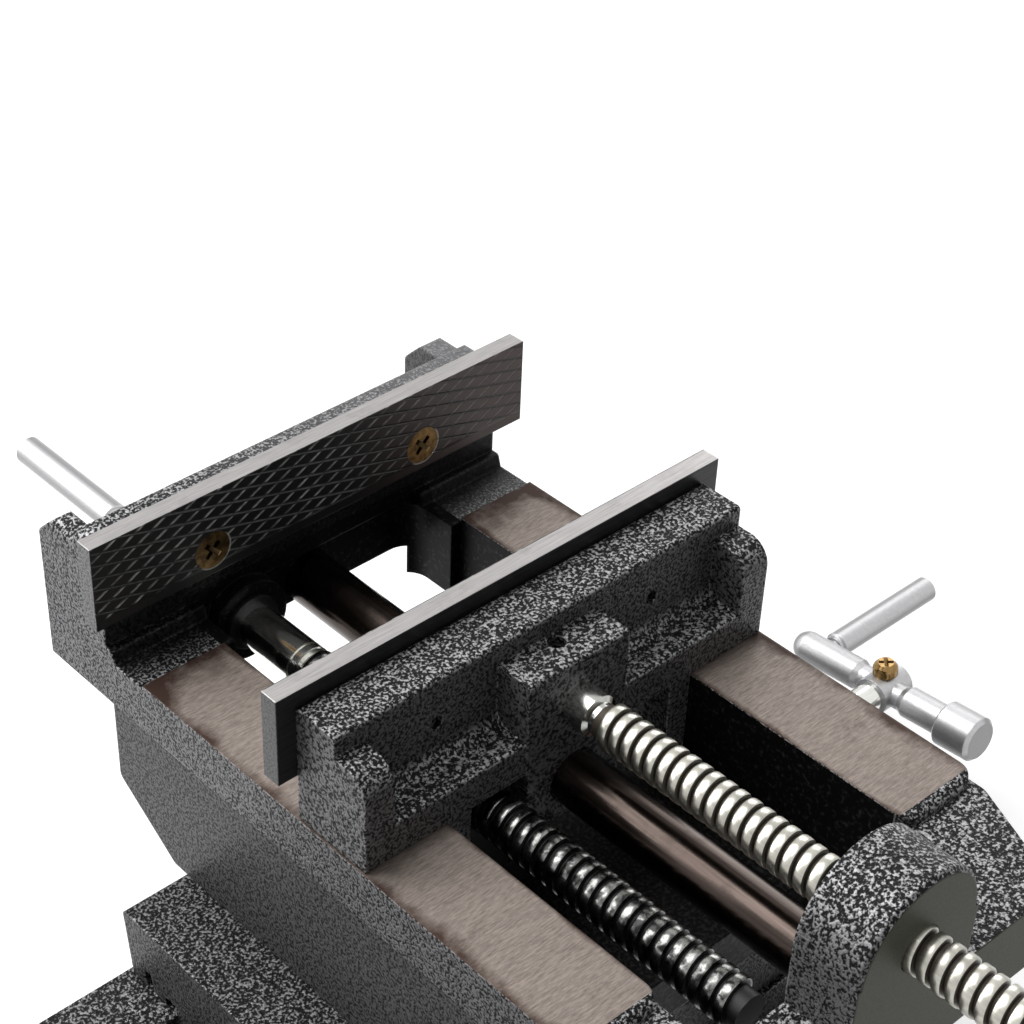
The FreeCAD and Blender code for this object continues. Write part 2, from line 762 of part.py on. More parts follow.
def vise_bed():
    wide = bed_half_width
    shoulder_z = way_top - shoulder_drop
    band = prism_z(bed_plan([(-wide, shoulder_start_y, shoulder_corner),
                             (-shoulder_mid_half, shoulder_mid_y, shoulder_bend),
                             (-shoulder_front_half, bed_front_y, bed_front_corner),
                             (shoulder_front_half, bed_front_y, bed_front_corner),
                             (shoulder_mid_half, shoulder_mid_y, shoulder_bend),
                             (wide, shoulder_start_y, shoulder_corner)]), rail_bottom, shoulder_z)
    band = band.cut(box(-wide, wide, skirt_rear_y, bed_rear_y, rail_bottom, band_bottom))
    step = box(skirt_half_width, wide, bed_front_y, skirt_rear_y, rail_bottom, band_bottom)
    band = band.cut(step).cut(mirror_x(step))
    skirt_z = bed_bottom + skirt_slant_height
    skirt = prism_x([(skirt_front_y, rail_bottom, 0), (skirt_front_y, skirt_z, skirt_round_high),
                     (skirt_front_y + skirt_slant_front, bed_bottom, skirt_round_low),
                     (skirt_rear_y - skirt_slant_rear, bed_bottom, skirt_round_low),
                     (skirt_rear_y, skirt_z, skirt_round_high), (skirt_rear_y, rail_bottom, 0)],
                    -skirt_half_width, skirt_half_width)
    foot_z = way_top + wall_foot_height
    wall = prism_x([(wall_foot_y, way_top - land_drop, 0), (wall_foot_y + wall_foot_slant, foot_z, 1),
                    (fixed_back_y, foot_z, 0), (fixed_back_y, casting_top, 1),
                    (wall_rear_y, casting_top, wall_top_round), (wall_rear_y, way_top - land_drop, 0)],
                   -wide, wide)
    wall = wall.common(prism_y([(-wide, way_top - land_drop, 0), (-wide, casting_top, wall_end_round),
                                (wide, casting_top, wall_end_round), (wide, way_top - land_drop, 0)],
                               wall_foot_y, wall_rear_y))
    left_rib = mirror_x(bed_rib(rib_width))
    right_rib = bed_rib(right_rib_width)
    boss = turned([(0, 0), (0, boss_r), (slot_front_y - bed_front_y - boss_front_bevel, boss_r),
                   (slot_front_y - bed_front_y, boss_r - boss_front_bevel), (slot_front_y - bed_front_y, 0)],
                  V(0, slot_front_y, vise_z), V(0, -1, 0))
    pedestal = box(-boss_r, boss_r, bed_front_y, slot_front_y, rail_bottom, vise_z)
    body = joined([band, bed_ways(shoulder_z), skirt, wall, left_rib, right_rib, boss, pedestal])
    rail_slot = prism_z([(-slot_half_width, slot_front_y, slot_front_corner),
                         (slot_half_width, slot_front_y, slot_front_corner),
                         (slot_half_width, way_rear_y, 0), (-slot_half_width, way_rear_y, 0)],
                        rail_bottom, way_top)
    narrow = slot_half_width - land_overhang
    rear_slot = prism_z([(-narrow, way_rear_y, 0), (narrow, way_rear_y, 0),
                         (narrow, slot_rear_y, slot_corner), (-narrow, slot_rear_y, slot_corner)],
                        rail_bottom, way_top)
    foot_gap = box(-narrow, narrow, way_rear_y, fixed_back_y, way_top - land_drop, plate_bottom)
    body = body.cut(rail_slot).cut(rear_slot).cut(foot_gap)
    body = body.fuse(cylinder(long_boss_d, V(long_x, long_boss_y, rod_z), V(0, 1, 0), long_boss_reach))
    neck = long_neck_half
    gib = gib_across
    pocket = prism_y([(-neck, bed_bottom, 0), (-pocket_half, pocket_floor, 0), (-pocket_half, rail_bottom, 0),
                      (pocket_half + gib, rail_bottom, 0), (pocket_half + gib, pocket_floor, 0),
                      (neck + gib, bed_bottom, 0)], skirt_front_y, skirt_rear_y)
    body = body.cut(pocket)
    body = body.cut(cylinder(vise_screw_d + 2 * running_gap, V(0, bed_front_y, vise_z), V(0, 1, 0),
                             slot_front_y - bed_front_y))
    body = body.cut(cylinder(rod_d, V(0, slot_front_y - rod_seat, rod_z), V(0, 1, 0),
                             rear_face_y - slot_front_y + rod_seat))
    body = body.cut(cylinder(long_journal_d + 2 * running_gap, V(long_x, long_boss_y, rod_z), V(0, 1, 0),
                             rear_face_y - long_boss_y))
    for side in (-1, 1):
        body = body.cut(cylinder(plate_screw_d, V(side * plate_screw_pitch / 2, fixed_back_y, plate_screw_z),
                                 V(0, 1, 0), wall_thickness))
    for screw in long_gib_screw_rods():
        body = body.cut(screw)
    return body.removeSplitter()


def plate_screw(x, face_y, direction):
    head_height = (plate_screw_head_d - plate_screw_d) / 2
    head = Part.makeCone(plate_screw_head_d / 2, plate_screw_d / 2, head_height, V(x, face_y, plate_screw_z),
                         direction)
    shank = cylinder(plate_screw_d, V(x, face_y, plate_screw_z), direction, plate_screw_length)
    return head.fuse(shank).removeSplitter()


def jaw_plate(face_y, direction):
    back = face_y + direction * plate_thickness
    half = plate_length / 2
    body = box(-half, half, min(face_y, back), max(face_y, back), plate_bottom, plate_top)
    for side in (-1, 1):
        body = body.cut(plate_screw(side * plate_screw_pitch / 2, face_y, V(0, direction, 0)))
    return body


def plate_screws(face_y, direction):
    screws = []
    for side in (-1, 1):
        x = side * plate_screw_pitch / 2
        recess = cross_recess(plate_recess_span, plate_recess_width, plate_recess_depth,
                              V(x, face_y, plate_screw_z), V(0, direction, 0))
        screws.append(plate_screw(x, face_y, V(0, direction, 0)).cut(recess))
    return Part.Compound(screws)


def moving_jaw():
    wide = jaw_half_width
    profile = [(moving_back_y, jaw_bottom, 0), (moving_back_y, casting_top, 1),
               (jaw_wall_y, casting_top, jaw_edge_round),
               (jaw_wall_y, way_top + jaw_ledge_height, jaw_ledge_fillet),
               (jaw_foot_y, way_top + jaw_ledge_height, jaw_edge_round), (jaw_foot_y, jaw_bottom, 0)]
    body = prism_x(profile, -wide, wide)
    rib = prism_x([(moving_back_y, jaw_bottom, 0), (moving_back_y, way_top + jaw_rib_height, 0),
                   (jaw_foot_y, way_top + jaw_rib_height, jaw_rib_round), (jaw_foot_y, jaw_bottom, 0)],
                  wide - jaw_rib_width, wide)
    boss_top = way_top + jaw_boss_height
    boss = prism_x([(moving_back_y, jaw_bottom, 0), (moving_back_y, boss_top, 0),
                    (jaw_boss_y, boss_top, jaw_edge_round), (jaw_boss_y, jaw_bottom, 0)],
                   -jaw_boss_half, jaw_boss_half)
    stem = box(-stem_half, stem_half, jaw_boss_y, moving_back_y, way_top - stem_depth, jaw_bottom)
    outer = slot_half_width - lug_play
    lug = box(lug_inner_half, outer, jaw_foot_y, lug_rear_y, rail_bottom + slide_gap, jaw_bottom)
    body = joined([body, rib, mirror_x(rib), boss, stem, lug, mirror_x(lug)])
    reach = moving_back_y - jaw_boss_y
    body = body.cut(cylinder(vise_nose_d + 2 * running_gap, V(0, jaw_boss_y, vise_z), V(0, 1, 0),
                             vise_nose_depth + running_gap))
    body = body.cut(cylinder(rod_d + 2 * running_gap, V(0, jaw_boss_y, rod_z), V(0, 1, 0), reach))
    set_y = moving_back_y - set_screw_back
    body = body.cut(cylinder(set_screw_d, V(0, set_y, vise_z), V(0, 0, 1), boss_top - vise_z))
    for side in (-1, 1):
        x = side * plate_screw_pitch / 2
        body = body.cut(cylinder(plate_screw_d, V(x, moving_back_y, plate_screw_z), V(0, -1, 0),
                                 plate_screw_length - plate_thickness))
        body = body.cut(cylinder(wall_drill_d, V(x, moving_back_y, plate_screw_z), V(0, -1, 0), jaw_wall))
    for x, y in keeper_screw_places():
        body = body.cut(cylinder(keeper_screw_d, V(x, y, rail_bottom), V(0, 0, 1),
                                 keeper_screw_length - keeper_thickness + keeper_screw_head))
    return body


def keeper_screw_places():
    middle = (lug_inner_half + slot_half_width - lug_play) / 2
    length = lug_rear_y - jaw_foot_y
    centre = (lug_rear_y + jaw_foot_y) / 2
    return [(side * middle, centre + along * length / 4) for side in (-1, 1) for along in (-1, 1)]


def keeper_strips():
    low = rail_bottom - slide_gap - keeper_thickness
    high = rail_bottom - slide_gap
    outer = pocket_half - keeper_side_gap
    strip = box(lug_inner_half, outer, jaw_foot_y, lug_rear_y, low, high)
    pad = box(lug_inner_half, slot_half_width - lug_play, jaw_foot_y, lug_rear_y,
              high, rail_bottom + slide_gap)
    strip = joined([strip, pad])
    strips = [strip, mirror_x(strip)]
    for x, y in keeper_screw_places():
        hole = keeper_screw(x, y)
        strips = [piece.cut(hole) for piece in strips]
    return Part.Compound(strips)


def keeper_screw(x, y):
    low = rail_bottom - slide_gap - keeper_thickness
    head = cylinder(keeper_screw_head_d, V(x, y, low), V(0, 0, 1), keeper_screw_head)
    return head.fuse(cylinder(keeper_screw_d, V(x, y, low), V(0, 0, 1), keeper_screw_length))


def keeper_screws():
    low = rail_bottom - slide_gap - keeper_thickness
    screws = []
    for x, y in keeper_screw_places():
        key = hex_prism(hex_key_flats, V(x, y, low), V(0, 0, 1), keeper_screw_head / 2)
        screws.append(keeper_screw(x, y).cut(key))
    return Part.Compound(screws)


def set_screw():
    set_y = moving_back_y - set_screw_back
    tip_z = vise_z + nose_groove_d / 2 + running_gap
    body_z = vise_z + vise_nose_d / 2 + running_gap
    tip = cylinder(set_screw_tip_d, V(0, set_y, tip_z), V(0, 0, 1), body_z - tip_z)
    body = cylinder(set_screw_d, V(0, set_y, body_z), V(0, 0, 1), set_screw_length)
    key = hex_prism(set_screw_key_flats, V(0, set_y, body_z + set_screw_length), V(0, 0, -1), hex_key_depth)
    return tip.fuse(body).cut(key)


def vise_screw():
    nose_r = vise_nose_d / 2
    groove_r = nose_groove_d / 2
    groove_at = nose_tip_y - (moving_back_y - set_screw_back)
    groove_low = groove_at - nose_groove_width / 2
    groove_high = groove_at + nose_groove_width / 2
    start = nose_tip_y - thread_start_y
    profile = [(0, 0), (0, nose_r - vise_nose_bevel), (vise_nose_bevel, nose_r), (groove_low, nose_r),
               (groove_low, groove_r), (groove_high, groove_r), (groove_high, nose_r), (start, nose_r)]
    for along, radius in threaded(vise_thread_length, vise_screw_d):
        profile.append((start + along, radius))
    end = start + vise_thread_length
    crank_at = end + vise_crank_gap
    hub_at = crank_at - crank_hub_length / 2
    profile += [(end, shaft_d / 2), (hub_at, shaft_d / 2), (hub_at, crank_bore_d / 2),
                (crank_at, crank_bore_d / 2), (crank_at, 0)]
    return turned(profile, V(0, nose_tip_y, vise_z), V(0, -1, 0))


def guide_rod():
    length = rear_face_y - slot_front_y + rod_seat
    return cylinder(rod_d, V(0, slot_front_y - rod_seat, rod_z), V(0, 1, 0), length)


def long_screw():
    start = long_thread_front_y
    thread = long_thread_rear_y - start
    turns = int(thread / vise_screw_pitch)
    plain = thread - turns * vise_screw_pitch
    journal_r = long_journal_d / 2
    root = long_screw_d / 2 - thread_depth
    profile = [(0, 0), (0, root), (plain, root)]
    for along, radius in threaded(turns * vise_screw_pitch, long_screw_d):
        profile.append((plain + along, radius))
    ring_start = thread + long_ring_groove
    ring_end = ring_start + long_ring_length
    shoulder = ring_end + long_shoulder_groove
    wall_at = long_boss_y - start
    ring_at = wall_at - ring_thickness
    outer = rear_face_y - start
    crank_at = long_crank_y - start
    hub_at = crank_at - crank_hub_length / 2
    groove_r = long_ring_groove_d / 2
    profile += [(thread, groove_r), (ring_start, groove_r), (ring_start, journal_r),
                (ring_end, journal_r), (ring_end, long_shoulder_groove_d / 2),
                (shoulder, long_shoulder_groove_d / 2), (shoulder, journal_r),
                (ring_at, journal_r), (ring_at, ring_neck_d / 2), (wall_at, ring_neck_d / 2),
                (wall_at, journal_r), (outer, journal_r), (outer, shaft_d / 2), (hub_at, shaft_d / 2),
                (hub_at, crank_bore_d / 2), (crank_at, crank_bore_d / 2), (crank_at, 0)]
    return turned(profile, V(long_x, start, rod_z), V(0, 1, 0))


def retaining_ring():
    start = V(long_x, long_boss_y - ring_thickness, rod_z)
    ring = cylinder(ring_d, start, V(0, 1, 0), ring_thickness)
    return ring.cut(cylinder(ring_neck_d, start, V(0, 1, 0), ring_thickness))


def cross_screw():
    start = cross_thread_start_x
    collar_at = bracket_x - cross_collar_length - start
    turns = int(collar_at / vise_screw_pitch)
    plain = collar_at - turns * vise_screw_pitch
    root = cross_screw_d / 2 - thread_depth
    profile = [(0, 0), (0, root), (plain, root)]
    for along, radius in threaded(turns * vise_screw_pitch, cross_screw_d):
        profile.append((plain + along, radius))
    collar_end = bracket_x - start
    crank_at = cross_crank_x - start
    hub_at = crank_at - crank_hub_length / 2
    profile += [(collar_at, cross_collar_d / 2), (collar_end, cross_collar_d / 2),
                (collar_end, cross_journal_d / 2), (hub_at, cross_journal_d / 2),
                (hub_at, crank_bore_d / 2), (crank_at, crank_bore_d / 2), (crank_at, 0)]
    return turned(profile, V(start, 0, cross_z), V(1, 0, 0))


def dial(start, direction):
    knob = cylinder(dial_d, start + direction * dial_gap, direction, dial_length)
    return knob.cut(cylinder(shaft_d, start, direction, dial_length + dial_gap))


def crank_bar():
    """Arm of a crank: shaft axis along local Z at the origin, arm along local X, grip end at -X."""
    tip = crank_tip_reach
    neck = crank_hub_d / 2 + crank_neck_reach
    arm_r = crank_arm_d / 2
    neck_r = crank_neck_d / 2
    profile = [(0, 0), (0, arm_r), (tip - neck, arm_r), (tip - neck + crank_neck_taper, neck_r),
               (tip + neck - crank_neck_taper, neck_r), (tip + neck, arm_r),
               (tip + crank_bar_reach, arm_r), (tip + crank_bar_reach, 0)]
    bar = turned(profile, V(-tip, 0, 0), V(1, 0, 0))
    end = Part.makeSphere(arm_r, V(-tip, 0, 0))
    hub = cylinder(crank_hub_d, V(0, 0, -crank_hub_length / 2), V(0, 0, 1), crank_hub_length)
    body = joined([bar, end, hub])
    body = body.cut(cylinder(crank_bore_d, V(0, 0, -crank_hub_length / 2), V(0, 0, 1), crank_hub_length / 2))
    body = body.cut(cylinder(crank_grip_stub_d, V(-crank_grip_offset, 0, grip_rivet_drop - arm_r), V(0, 0, 1),
                             crank_arm_d))
    body = body.cut(cylinder(lock_screw_d, V(0, 0, 0), V(0, -1, 0), crank_hub_d))
    return body


def crank_cap():
    start = crank_bar_reach - crank_cap_socket
    r = crank_cap_d / 2
    profile = [(0, crank_arm_d / 2), (0, r - crank_cap_bevel / 2), (crank_cap_bevel / 2, r),
               (crank_cap_length - crank_cap_bevel, r), (crank_cap_length, r - crank_cap_bevel),
               (crank_cap_length, 0), (crank_cap_socket, 0), (crank_cap_socket, crank_arm_d / 2)]
    return turned(profile, V(start, 0, 0), V(1, 0, 0))


def crank_grip():
    r = crank_grip_d / 2
    neck_r = r - grip_neck_drop
    stub = crank_grip_stub_d / 2
    rivet = crank_arm_d / 2 - grip_rivet_drop
    seat = crank_arm_d / 2 + crank_seam + rivet
    neck_end = seat + grip_neck_length
    tip = rivet + crank_grip_length
    profile = [(0, 0), (0, stub), (seat, stub), (seat, neck_r), (neck_end, neck_r),
               (neck_end + grip_neck_taper, r), (tip - crank_grip_end_bevel, r),
               (tip, r - crank_grip_end_bevel), (tip, 0)]
    return turned(profile, V(-crank_grip_offset, 0, -rivet), V(0, 0, 1))


def crank_lock_screw():
    head_top = V(0, -(crank_hub_d / 2 + lock_head_height), 0)
    r = lock_head_d / 2
    shank = lock_screw_d / 2
    tip = lock_head_height + crank_hub_d / 2 - crank_bore_d / 2
    profile = [(0, 0), (0, r - lock_head_crown_inset), (lock_head_crown, r - lock_head_rim_inset),
               (lock_head_crown + lock_head_rim, r), (lock_head_height, r), (lock_head_height, shank),
               (tip, shank), (tip, 0)]
    screw = turned(profile, head_top, V(0, 1, 0))
    return screw.cut(cross_recess(lock_recess_span, lock_recess_width, lock_recess_depth, head_top,
                                  V(0, 1, 0)))


def crank_place(centre, arm, outward):
    """Placement with the arm's capped end along arm and the grip along outward."""
    side = outward.cross(arm)
    matrix = FreeCAD.Matrix(arm.x, side.x, outward.x, centre.x, arm.y, side.y, outward.y, centre.y,
                            arm.z, side.z, outward.z, centre.z, 0, 0, 0, 1)
    return FreeCAD.Placement(matrix)


def crank_nodes(name, place):
    pieces = {"arm": crank_bar(), "end_cap": crank_cap(), "grip": crank_grip(),
              "lock_screw": crank_lock_screw()}
    nodes = {}
    for piece, shape in pieces.items():
        shape.Placement = place.multiply(shape.Placement)
        nodes[name + "_crank_" + piece] = shape
    return nodes


def all_nodes():
    nodes = {
        "base": base(),
        "cross_bearing_bracket": bracket(),
        "cross_bracket_screws": bracket_screws(),
        "cross_gib": cross_gib(),
        "cross_gib_screws": with_hex_keys(cross_gib_screw_rods(), V(0, 1, 0)),
        "cross_gib_lock_nuts": cross_gib_nuts(),
        "cross_screw": cross_screw(),
        "cross_dial": dial(V(bracket_outer_x, 0, cross_z), V(1, 0, 0)),
        "saddle": saddle(),
        "cross_nut": cross_nut(),
        "cross_nut_screws": cross_nut_screws(),
        "long_nut": long_nut(),
        "long_nut_screws": long_nut_screws(),
        "vise_bed": vise_bed(),
        "long_gib": long_gib(),
        "long_gib_screws": with_hex_keys(long_gib_screw_rods(), V(-1, 0, 0)),
        "long_gib_lock_nuts": long_gib_nuts(),
        "guide_rod": guide_rod(),
        "fixed_jaw_plate": jaw_plate(fixed_plate_y, 1),
        "fixed_plate_screws": plate_screws(fixed_plate_y, 1),
        "long_screw": long_screw(),
        "long_retaining_ring": retaining_ring(),
        "long_dial": dial(V(long_x, rear_face_y, rod_z), V(0, 1, 0)),
        "moving_jaw": moving_jaw(),
        "moving_jaw_plate": jaw_plate(moving_face_y, -1),
        "moving_plate_screws": plate_screws(moving_face_y, -1),
        "keeper_strips": keeper_strips(),
        "keeper_screws": keeper_screws(),
        "jaw_set_screw": set_screw(),
        "vise_screw": vise_screw(),
    }
    tilt = math.radians(cross_crank_tilt)
    arm = V(0, -math.cos(tilt), -math.sin(tilt))
    nodes.update(crank_nodes("cross", crank_place(V(cross_crank_x, 0, cross_z), arm, V(1, 0, 0))))
    tilt = math.radians(long_crank_tilt)
    arm = V(-math.cos(tilt), 0, -math.sin(tilt))
    nodes.update(crank_nodes("long", crank_place(V(long_x, long_crank_y, rod_z), arm, V(0, 1, 0))))
    tilt = math.radians(vise_crank_tilt)
    arm = V(math.cos(tilt), 0, math.sin(tilt))
    nodes.update(crank_nodes("vise", crank_place(V(0, vise_crank_y, vise_z), arm, V(0, -1, 0))))
    return nodes


def main():
    os.makedirs("parts", exist_ok=True)
    for name, shape in all_nodes().items():
        shape.exportStep(os.path.join("parts", name + ".step"))
        solids = shape.Solids
        volume = sum(solid.Volume for solid in solids)
        print(f"{name}: {len(solids)} solid(s), {volume:.0f} mm3, valid {shape.isValid()}")


main()
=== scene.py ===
import math

import bpy
from mathutils import Matrix, Vector


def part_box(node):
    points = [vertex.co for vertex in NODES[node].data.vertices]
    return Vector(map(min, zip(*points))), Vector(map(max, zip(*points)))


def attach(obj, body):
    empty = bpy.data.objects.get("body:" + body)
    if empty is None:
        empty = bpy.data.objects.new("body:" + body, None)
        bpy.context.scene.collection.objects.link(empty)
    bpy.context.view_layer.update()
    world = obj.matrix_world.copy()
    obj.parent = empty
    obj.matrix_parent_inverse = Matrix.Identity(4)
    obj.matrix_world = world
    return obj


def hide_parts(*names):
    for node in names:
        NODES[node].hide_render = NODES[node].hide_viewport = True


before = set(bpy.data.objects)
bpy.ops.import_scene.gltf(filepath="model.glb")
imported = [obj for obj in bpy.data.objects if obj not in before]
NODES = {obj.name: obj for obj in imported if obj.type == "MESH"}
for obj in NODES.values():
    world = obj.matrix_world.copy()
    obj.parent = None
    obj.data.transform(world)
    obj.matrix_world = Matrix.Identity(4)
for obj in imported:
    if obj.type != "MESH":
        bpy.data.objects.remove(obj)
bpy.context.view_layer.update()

bl_info = {
    "name": "Cross slide vise",
    "version": (1, 0, 0),
    "blender": (4, 5, 0),
    "location": "View3D > Sidebar > Vise",
    "description": "Finishes and turned pieces of a cross slide vise around its packed frame",
    "category": "Object",
}

MM = 0.001
BARE_METALLIC = 0.30
GRAIN_DEPTH = 0.2 * MM
SMOOTHER_ALONG = (0.64, 0.76, 0.0)

# Places on the castings, in the frame
WAY_Z = 116.0 * MM
WAY_FRONT_Y = -87.7 * MM
WAY_REAR_Y = 73.9 * MM
SLOT_HALF = 43.35 * MM
SLOT_FRONT_Y = -107.6 * MM
SLOT_REAR_Y = 92.1 * MM
WALL_FACE_Y = 92.6 * MM
PLATE_FOOT_Z = 121.5 * MM
SKIRT_HALF = 69.4 * MM
STEP_Z = 99.6 * MM
SADDLE_TOP_Z = 55.6 * MM
SADDLE_TOP_HALF = 60.0 * MM

VISE_SCREW_D = 12.4 * MM
SLIDE_SCREW_D = 13.4 * MM
TURNED_ALONG_X = (60.0, 500.0, 500.0)
TURNED_ALONG_Y = (500.0, 60.0, 500.0)

# Each lamp's name, place, target, size in metres and power in watts
LAMPS = (("lamp_top", (-0.35, 0.55, 1.4), (0, 0, 0.09), 1.1, 20.0),
         ("lamp_left", (-0.46, 0.44, 0.40), (-0.08, 0.12, 0.09), 0.35, 2.3),
         ("lamp_right", (1.3, 0.6, 0.7), (0, 0, 0.09), 0.7, 5.0))
WORLD_DIFFUSE = 0.10
FLOOR_GLOW = 0.62

SCREWS = {"fixed_jaw_plate": "fixed_plate_screws", "moving_jaw_plate": "moving_plate_screws"}
CRANKS = ("cross", "long", "vise")


def middle(node):
    low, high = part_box(node)
    return (low + high) / 2


# Properties

class PaintSettings(bpy.types.PropertyGroup):
    dark: bpy.props.FloatVectorProperty(name="Dark paint", description="Colour of the paint's dark veins",
                                        subtype="COLOR", size=3, default=(0.007, 0.007, 0.0075))
    light: bpy.props.FloatVectorProperty(name="Light paint",
                                         description="Colour of the paint's silver islands",
                                         subtype="COLOR", size=3, default=(0.20, 0.20, 0.205))
    cell: bpy.props.FloatProperty(name="Cell", description="Size of one island of the hammered pattern",
                                  subtype="DISTANCE", unit="LENGTH", default=0.00085)
    way: bpy.props.FloatVectorProperty(name="Bare way", description="Colour of the ground ways",
                                       subtype="COLOR", size=3, default=(0.285, 0.240, 0.212))
    front: bpy.props.FloatVectorProperty(name="Bare front", description="Colour of the milled front faces",
                                         subtype="COLOR", size=3, default=(0.080, 0.080, 0.064))
    # Painted highlight along the casting edges.
    edge_highlight: bpy.props.FloatVectorProperty(name="Worn edge", description="Colour of the glints along the edges",
                                        subtype="COLOR", size=3, default=(0.55, 0.55, 0.55))
    way_dirt: bpy.props.FloatVectorProperty(name="Way dirt", description="Colour of the stains on the ways",
                                            subtype="COLOR", size=3, default=(0.055, 0.033, 0.026))
    edge: bpy.props.FloatProperty(name="Edge", description="Width of the rounded edge of the castings",
                                  subtype="DISTANCE", unit="LENGTH", default=0.0009)


class MetalSettings(bpy.types.PropertyGroup):
    plate: bpy.props.FloatVectorProperty(name="Ground plate",
                                         description="Colour of the plates' ground edges",
                                         subtype="COLOR", size=3, default=(0.40, 0.385, 0.38))
    plate_dark: bpy.props.FloatVectorProperty(name="Plate face",
                                              description="Colour of the blackened plate faces",
                                              subtype="COLOR", size=3, default=(0.006, 0.006, 0.006))
    plate_brown: bpy.props.FloatVectorProperty(name="Worn plate face",
                                               description="Colour of the faces toward their right end",
                                               subtype="COLOR", size=3, default=(0.085, 0.060, 0.053))
    plate_end: bpy.props.FloatVectorProperty(name="Plate end",
                                             description="Pale specks on the fixed plate's ends",
                                             subtype="COLOR", size=3, default=(0.17, 0.17, 0.172))
    plate_end_dark: bpy.props.FloatVectorProperty(name="Dark plate end",
                                                  description="Pale specks on the moving plate's ends",
                                                  subtype="COLOR", size=3, default=(0.09, 0.09, 0.09))
    thread: bpy.props.FloatVectorProperty(name="Bright thread", description="Colour of the turned screw",
                                          subtype="COLOR", size=3, default=(0.46, 0.45, 0.40))
    oiled: bpy.props.FloatVectorProperty(name="Oiled steel", description="Colour of the dark oiled screw",
                                         subtype="COLOR", size=3, default=(0.085, 0.082, 0.078))
    rod: bpy.props.FloatVectorProperty(name="Rod", description="Colour of the guide rod",
                                       subtype="COLOR", size=3, default=(0.050, 0.039, 0.034))
    crank: bpy.props.FloatVectorProperty(name="Crank", description="Colour of the satin cranks",
                                         subtype="COLOR", size=3, default=(0.56, 0.56, 0.57))
    brass: bpy.props.FloatVectorProperty(name="Brass", description="Colour of the yellow screws",
                                         subtype="COLOR", size=3, default=(0.30, 0.19, 0.075))
    bronze: bpy.props.FloatVectorProperty(name="Bronze", description="Colour of the nuts",
                                          subtype="COLOR", size=3, default=(0.38, 0.24, 0.10))
    # Colour of dirt and painted shade in the bright threads' grooves.
    groove: bpy.props.FloatVectorProperty(name="Groove",
                                          description="Colour of the dirt in the bright threads",
                                          subtype="COLOR", size=3, default=(0.045, 0.036, 0.026))
    wet: bpy.props.FloatVectorProperty(name="Wet thread", description="Colour of the oily thread's crests",
                                       subtype="COLOR", size=3, default=(0.30, 0.30, 0.29))
    oil: bpy.props.FloatVectorProperty(name="Oil", description="Colour of the oil in that thread",
                                       subtype="COLOR", size=3, default=(0.008, 0.008, 0.008))
    # Near black: painted shade on the long nut deep inside the vise.
    iron: bpy.props.FloatVectorProperty(name="Iron", description="Colour of the dark iron nut",
                                        subtype="COLOR", size=3, default=(0.012, 0.012, 0.012))
    black: bpy.props.FloatVectorProperty(name="Black oxide", description="Colour of the black fasteners",
                                         subtype="COLOR", size=3, default=(0.02, 0.02, 0.022))


class KnurlSettings(bpy.types.PropertyGroup):
    pitch: bpy.props.FloatProperty(name="Pitch", description="Distance between knurl lines",
                                   subtype="DISTANCE", unit="LENGTH", default=0.0038)
    steep: bpy.props.FloatProperty(name="Steep",
                                   description="Angle of the rising lines to the plate's length",
                                   subtype="ANGLE", default=math.radians(27))
    shallow: bpy.props.FloatProperty(name="Shallow",
                                     description="Angle of the falling lines to the plate's length",
                                     subtype="ANGLE", default=math.radians(16))
    strip: bpy.props.FloatProperty(name="Plain strip", description="Height left plain at the plate's bottom",
                                   subtype="DISTANCE", unit="LENGTH", default=0.0032)


class ThreadSettings(bpy.types.PropertyGroup):
    pitch: bpy.props.FloatProperty(name="Pitch", description="Lead of all three screws",
                                   subtype="DISTANCE", unit="LENGTH", default=0.004)
    depth: bpy.props.FloatProperty(name="Depth", description="Depth of the thread",
                                   subtype="DISTANCE", unit="LENGTH", default=0.0016)
    crest: bpy.props.FloatProperty(name="Crest", description="Flat width at the top of the thread",
                                   subtype="DISTANCE", unit="LENGTH", default=0.0021)
    root: bpy.props.FloatProperty(name="Root", description="Flat width at the bottom of the thread",
                                  subtype="DISTANCE", unit="LENGTH", default=0.0010)
    steps: bpy.props.IntProperty(name="Steps", description="Faces round each screw", default=40)


class StageSettings(bpy.types.PropertyGroup):
    azimuth: bpy.props.FloatProperty(name="Azimuth", description="Camera direction round the vise",
                                     subtype="ANGLE", default=math.radians(-40.207))
    elevation: bpy.props.FloatProperty(name="Elevation", description="Camera height above the horizon",
                                       subtype="ANGLE", default=math.radians(37.828))
    roll: bpy.props.FloatProperty(name="Roll", description="Camera roll",
                                  subtype="ANGLE", default=math.radians(-0.209))
    distance: bpy.props.FloatProperty(name="Distance", description="Camera distance from its target",
                                      subtype="DISTANCE", unit="LENGTH", default=0.65313)
    target: bpy.props.FloatVectorProperty(name="Target",
                                          description="Point that the lens axis passes through",
                                          subtype="TRANSLATION", size=3, default=(0.0141, 0.07849, 0.116))
    lens: bpy.props.FloatProperty(name="Lens",
                                  description="Focal length on a 36 mm sensor, in mm", default=80.66)
    shift: bpy.props.FloatVectorProperty(name="Shift", description="Lens shift of the photograph's framing",
                                         size=2, default=(0.1342, 0.0376))
    floor: bpy.props.FloatVectorProperty(name="Floor", description="Colour of the floor", subtype="COLOR",
                                         size=3, default=(0.58, 0.58, 0.58))


class ViseSettings(bpy.types.PropertyGroup):
    paint: bpy.props.PointerProperty(type=PaintSettings, name="Paint", description="Castings")
    metal: bpy.props.PointerProperty(type=MetalSettings, name="Metal", description="Bare and plated metal")
    knurl: bpy.props.PointerProperty(type=KnurlSettings, name="Knurl", description="Jaw plates")
    thread: bpy.props.PointerProperty(type=ThreadSettings, name="Thread", description="Screws")
    stage: bpy.props.PointerProperty(type=StageSettings, name="Stage", description="Camera and light")


# Shader helpers

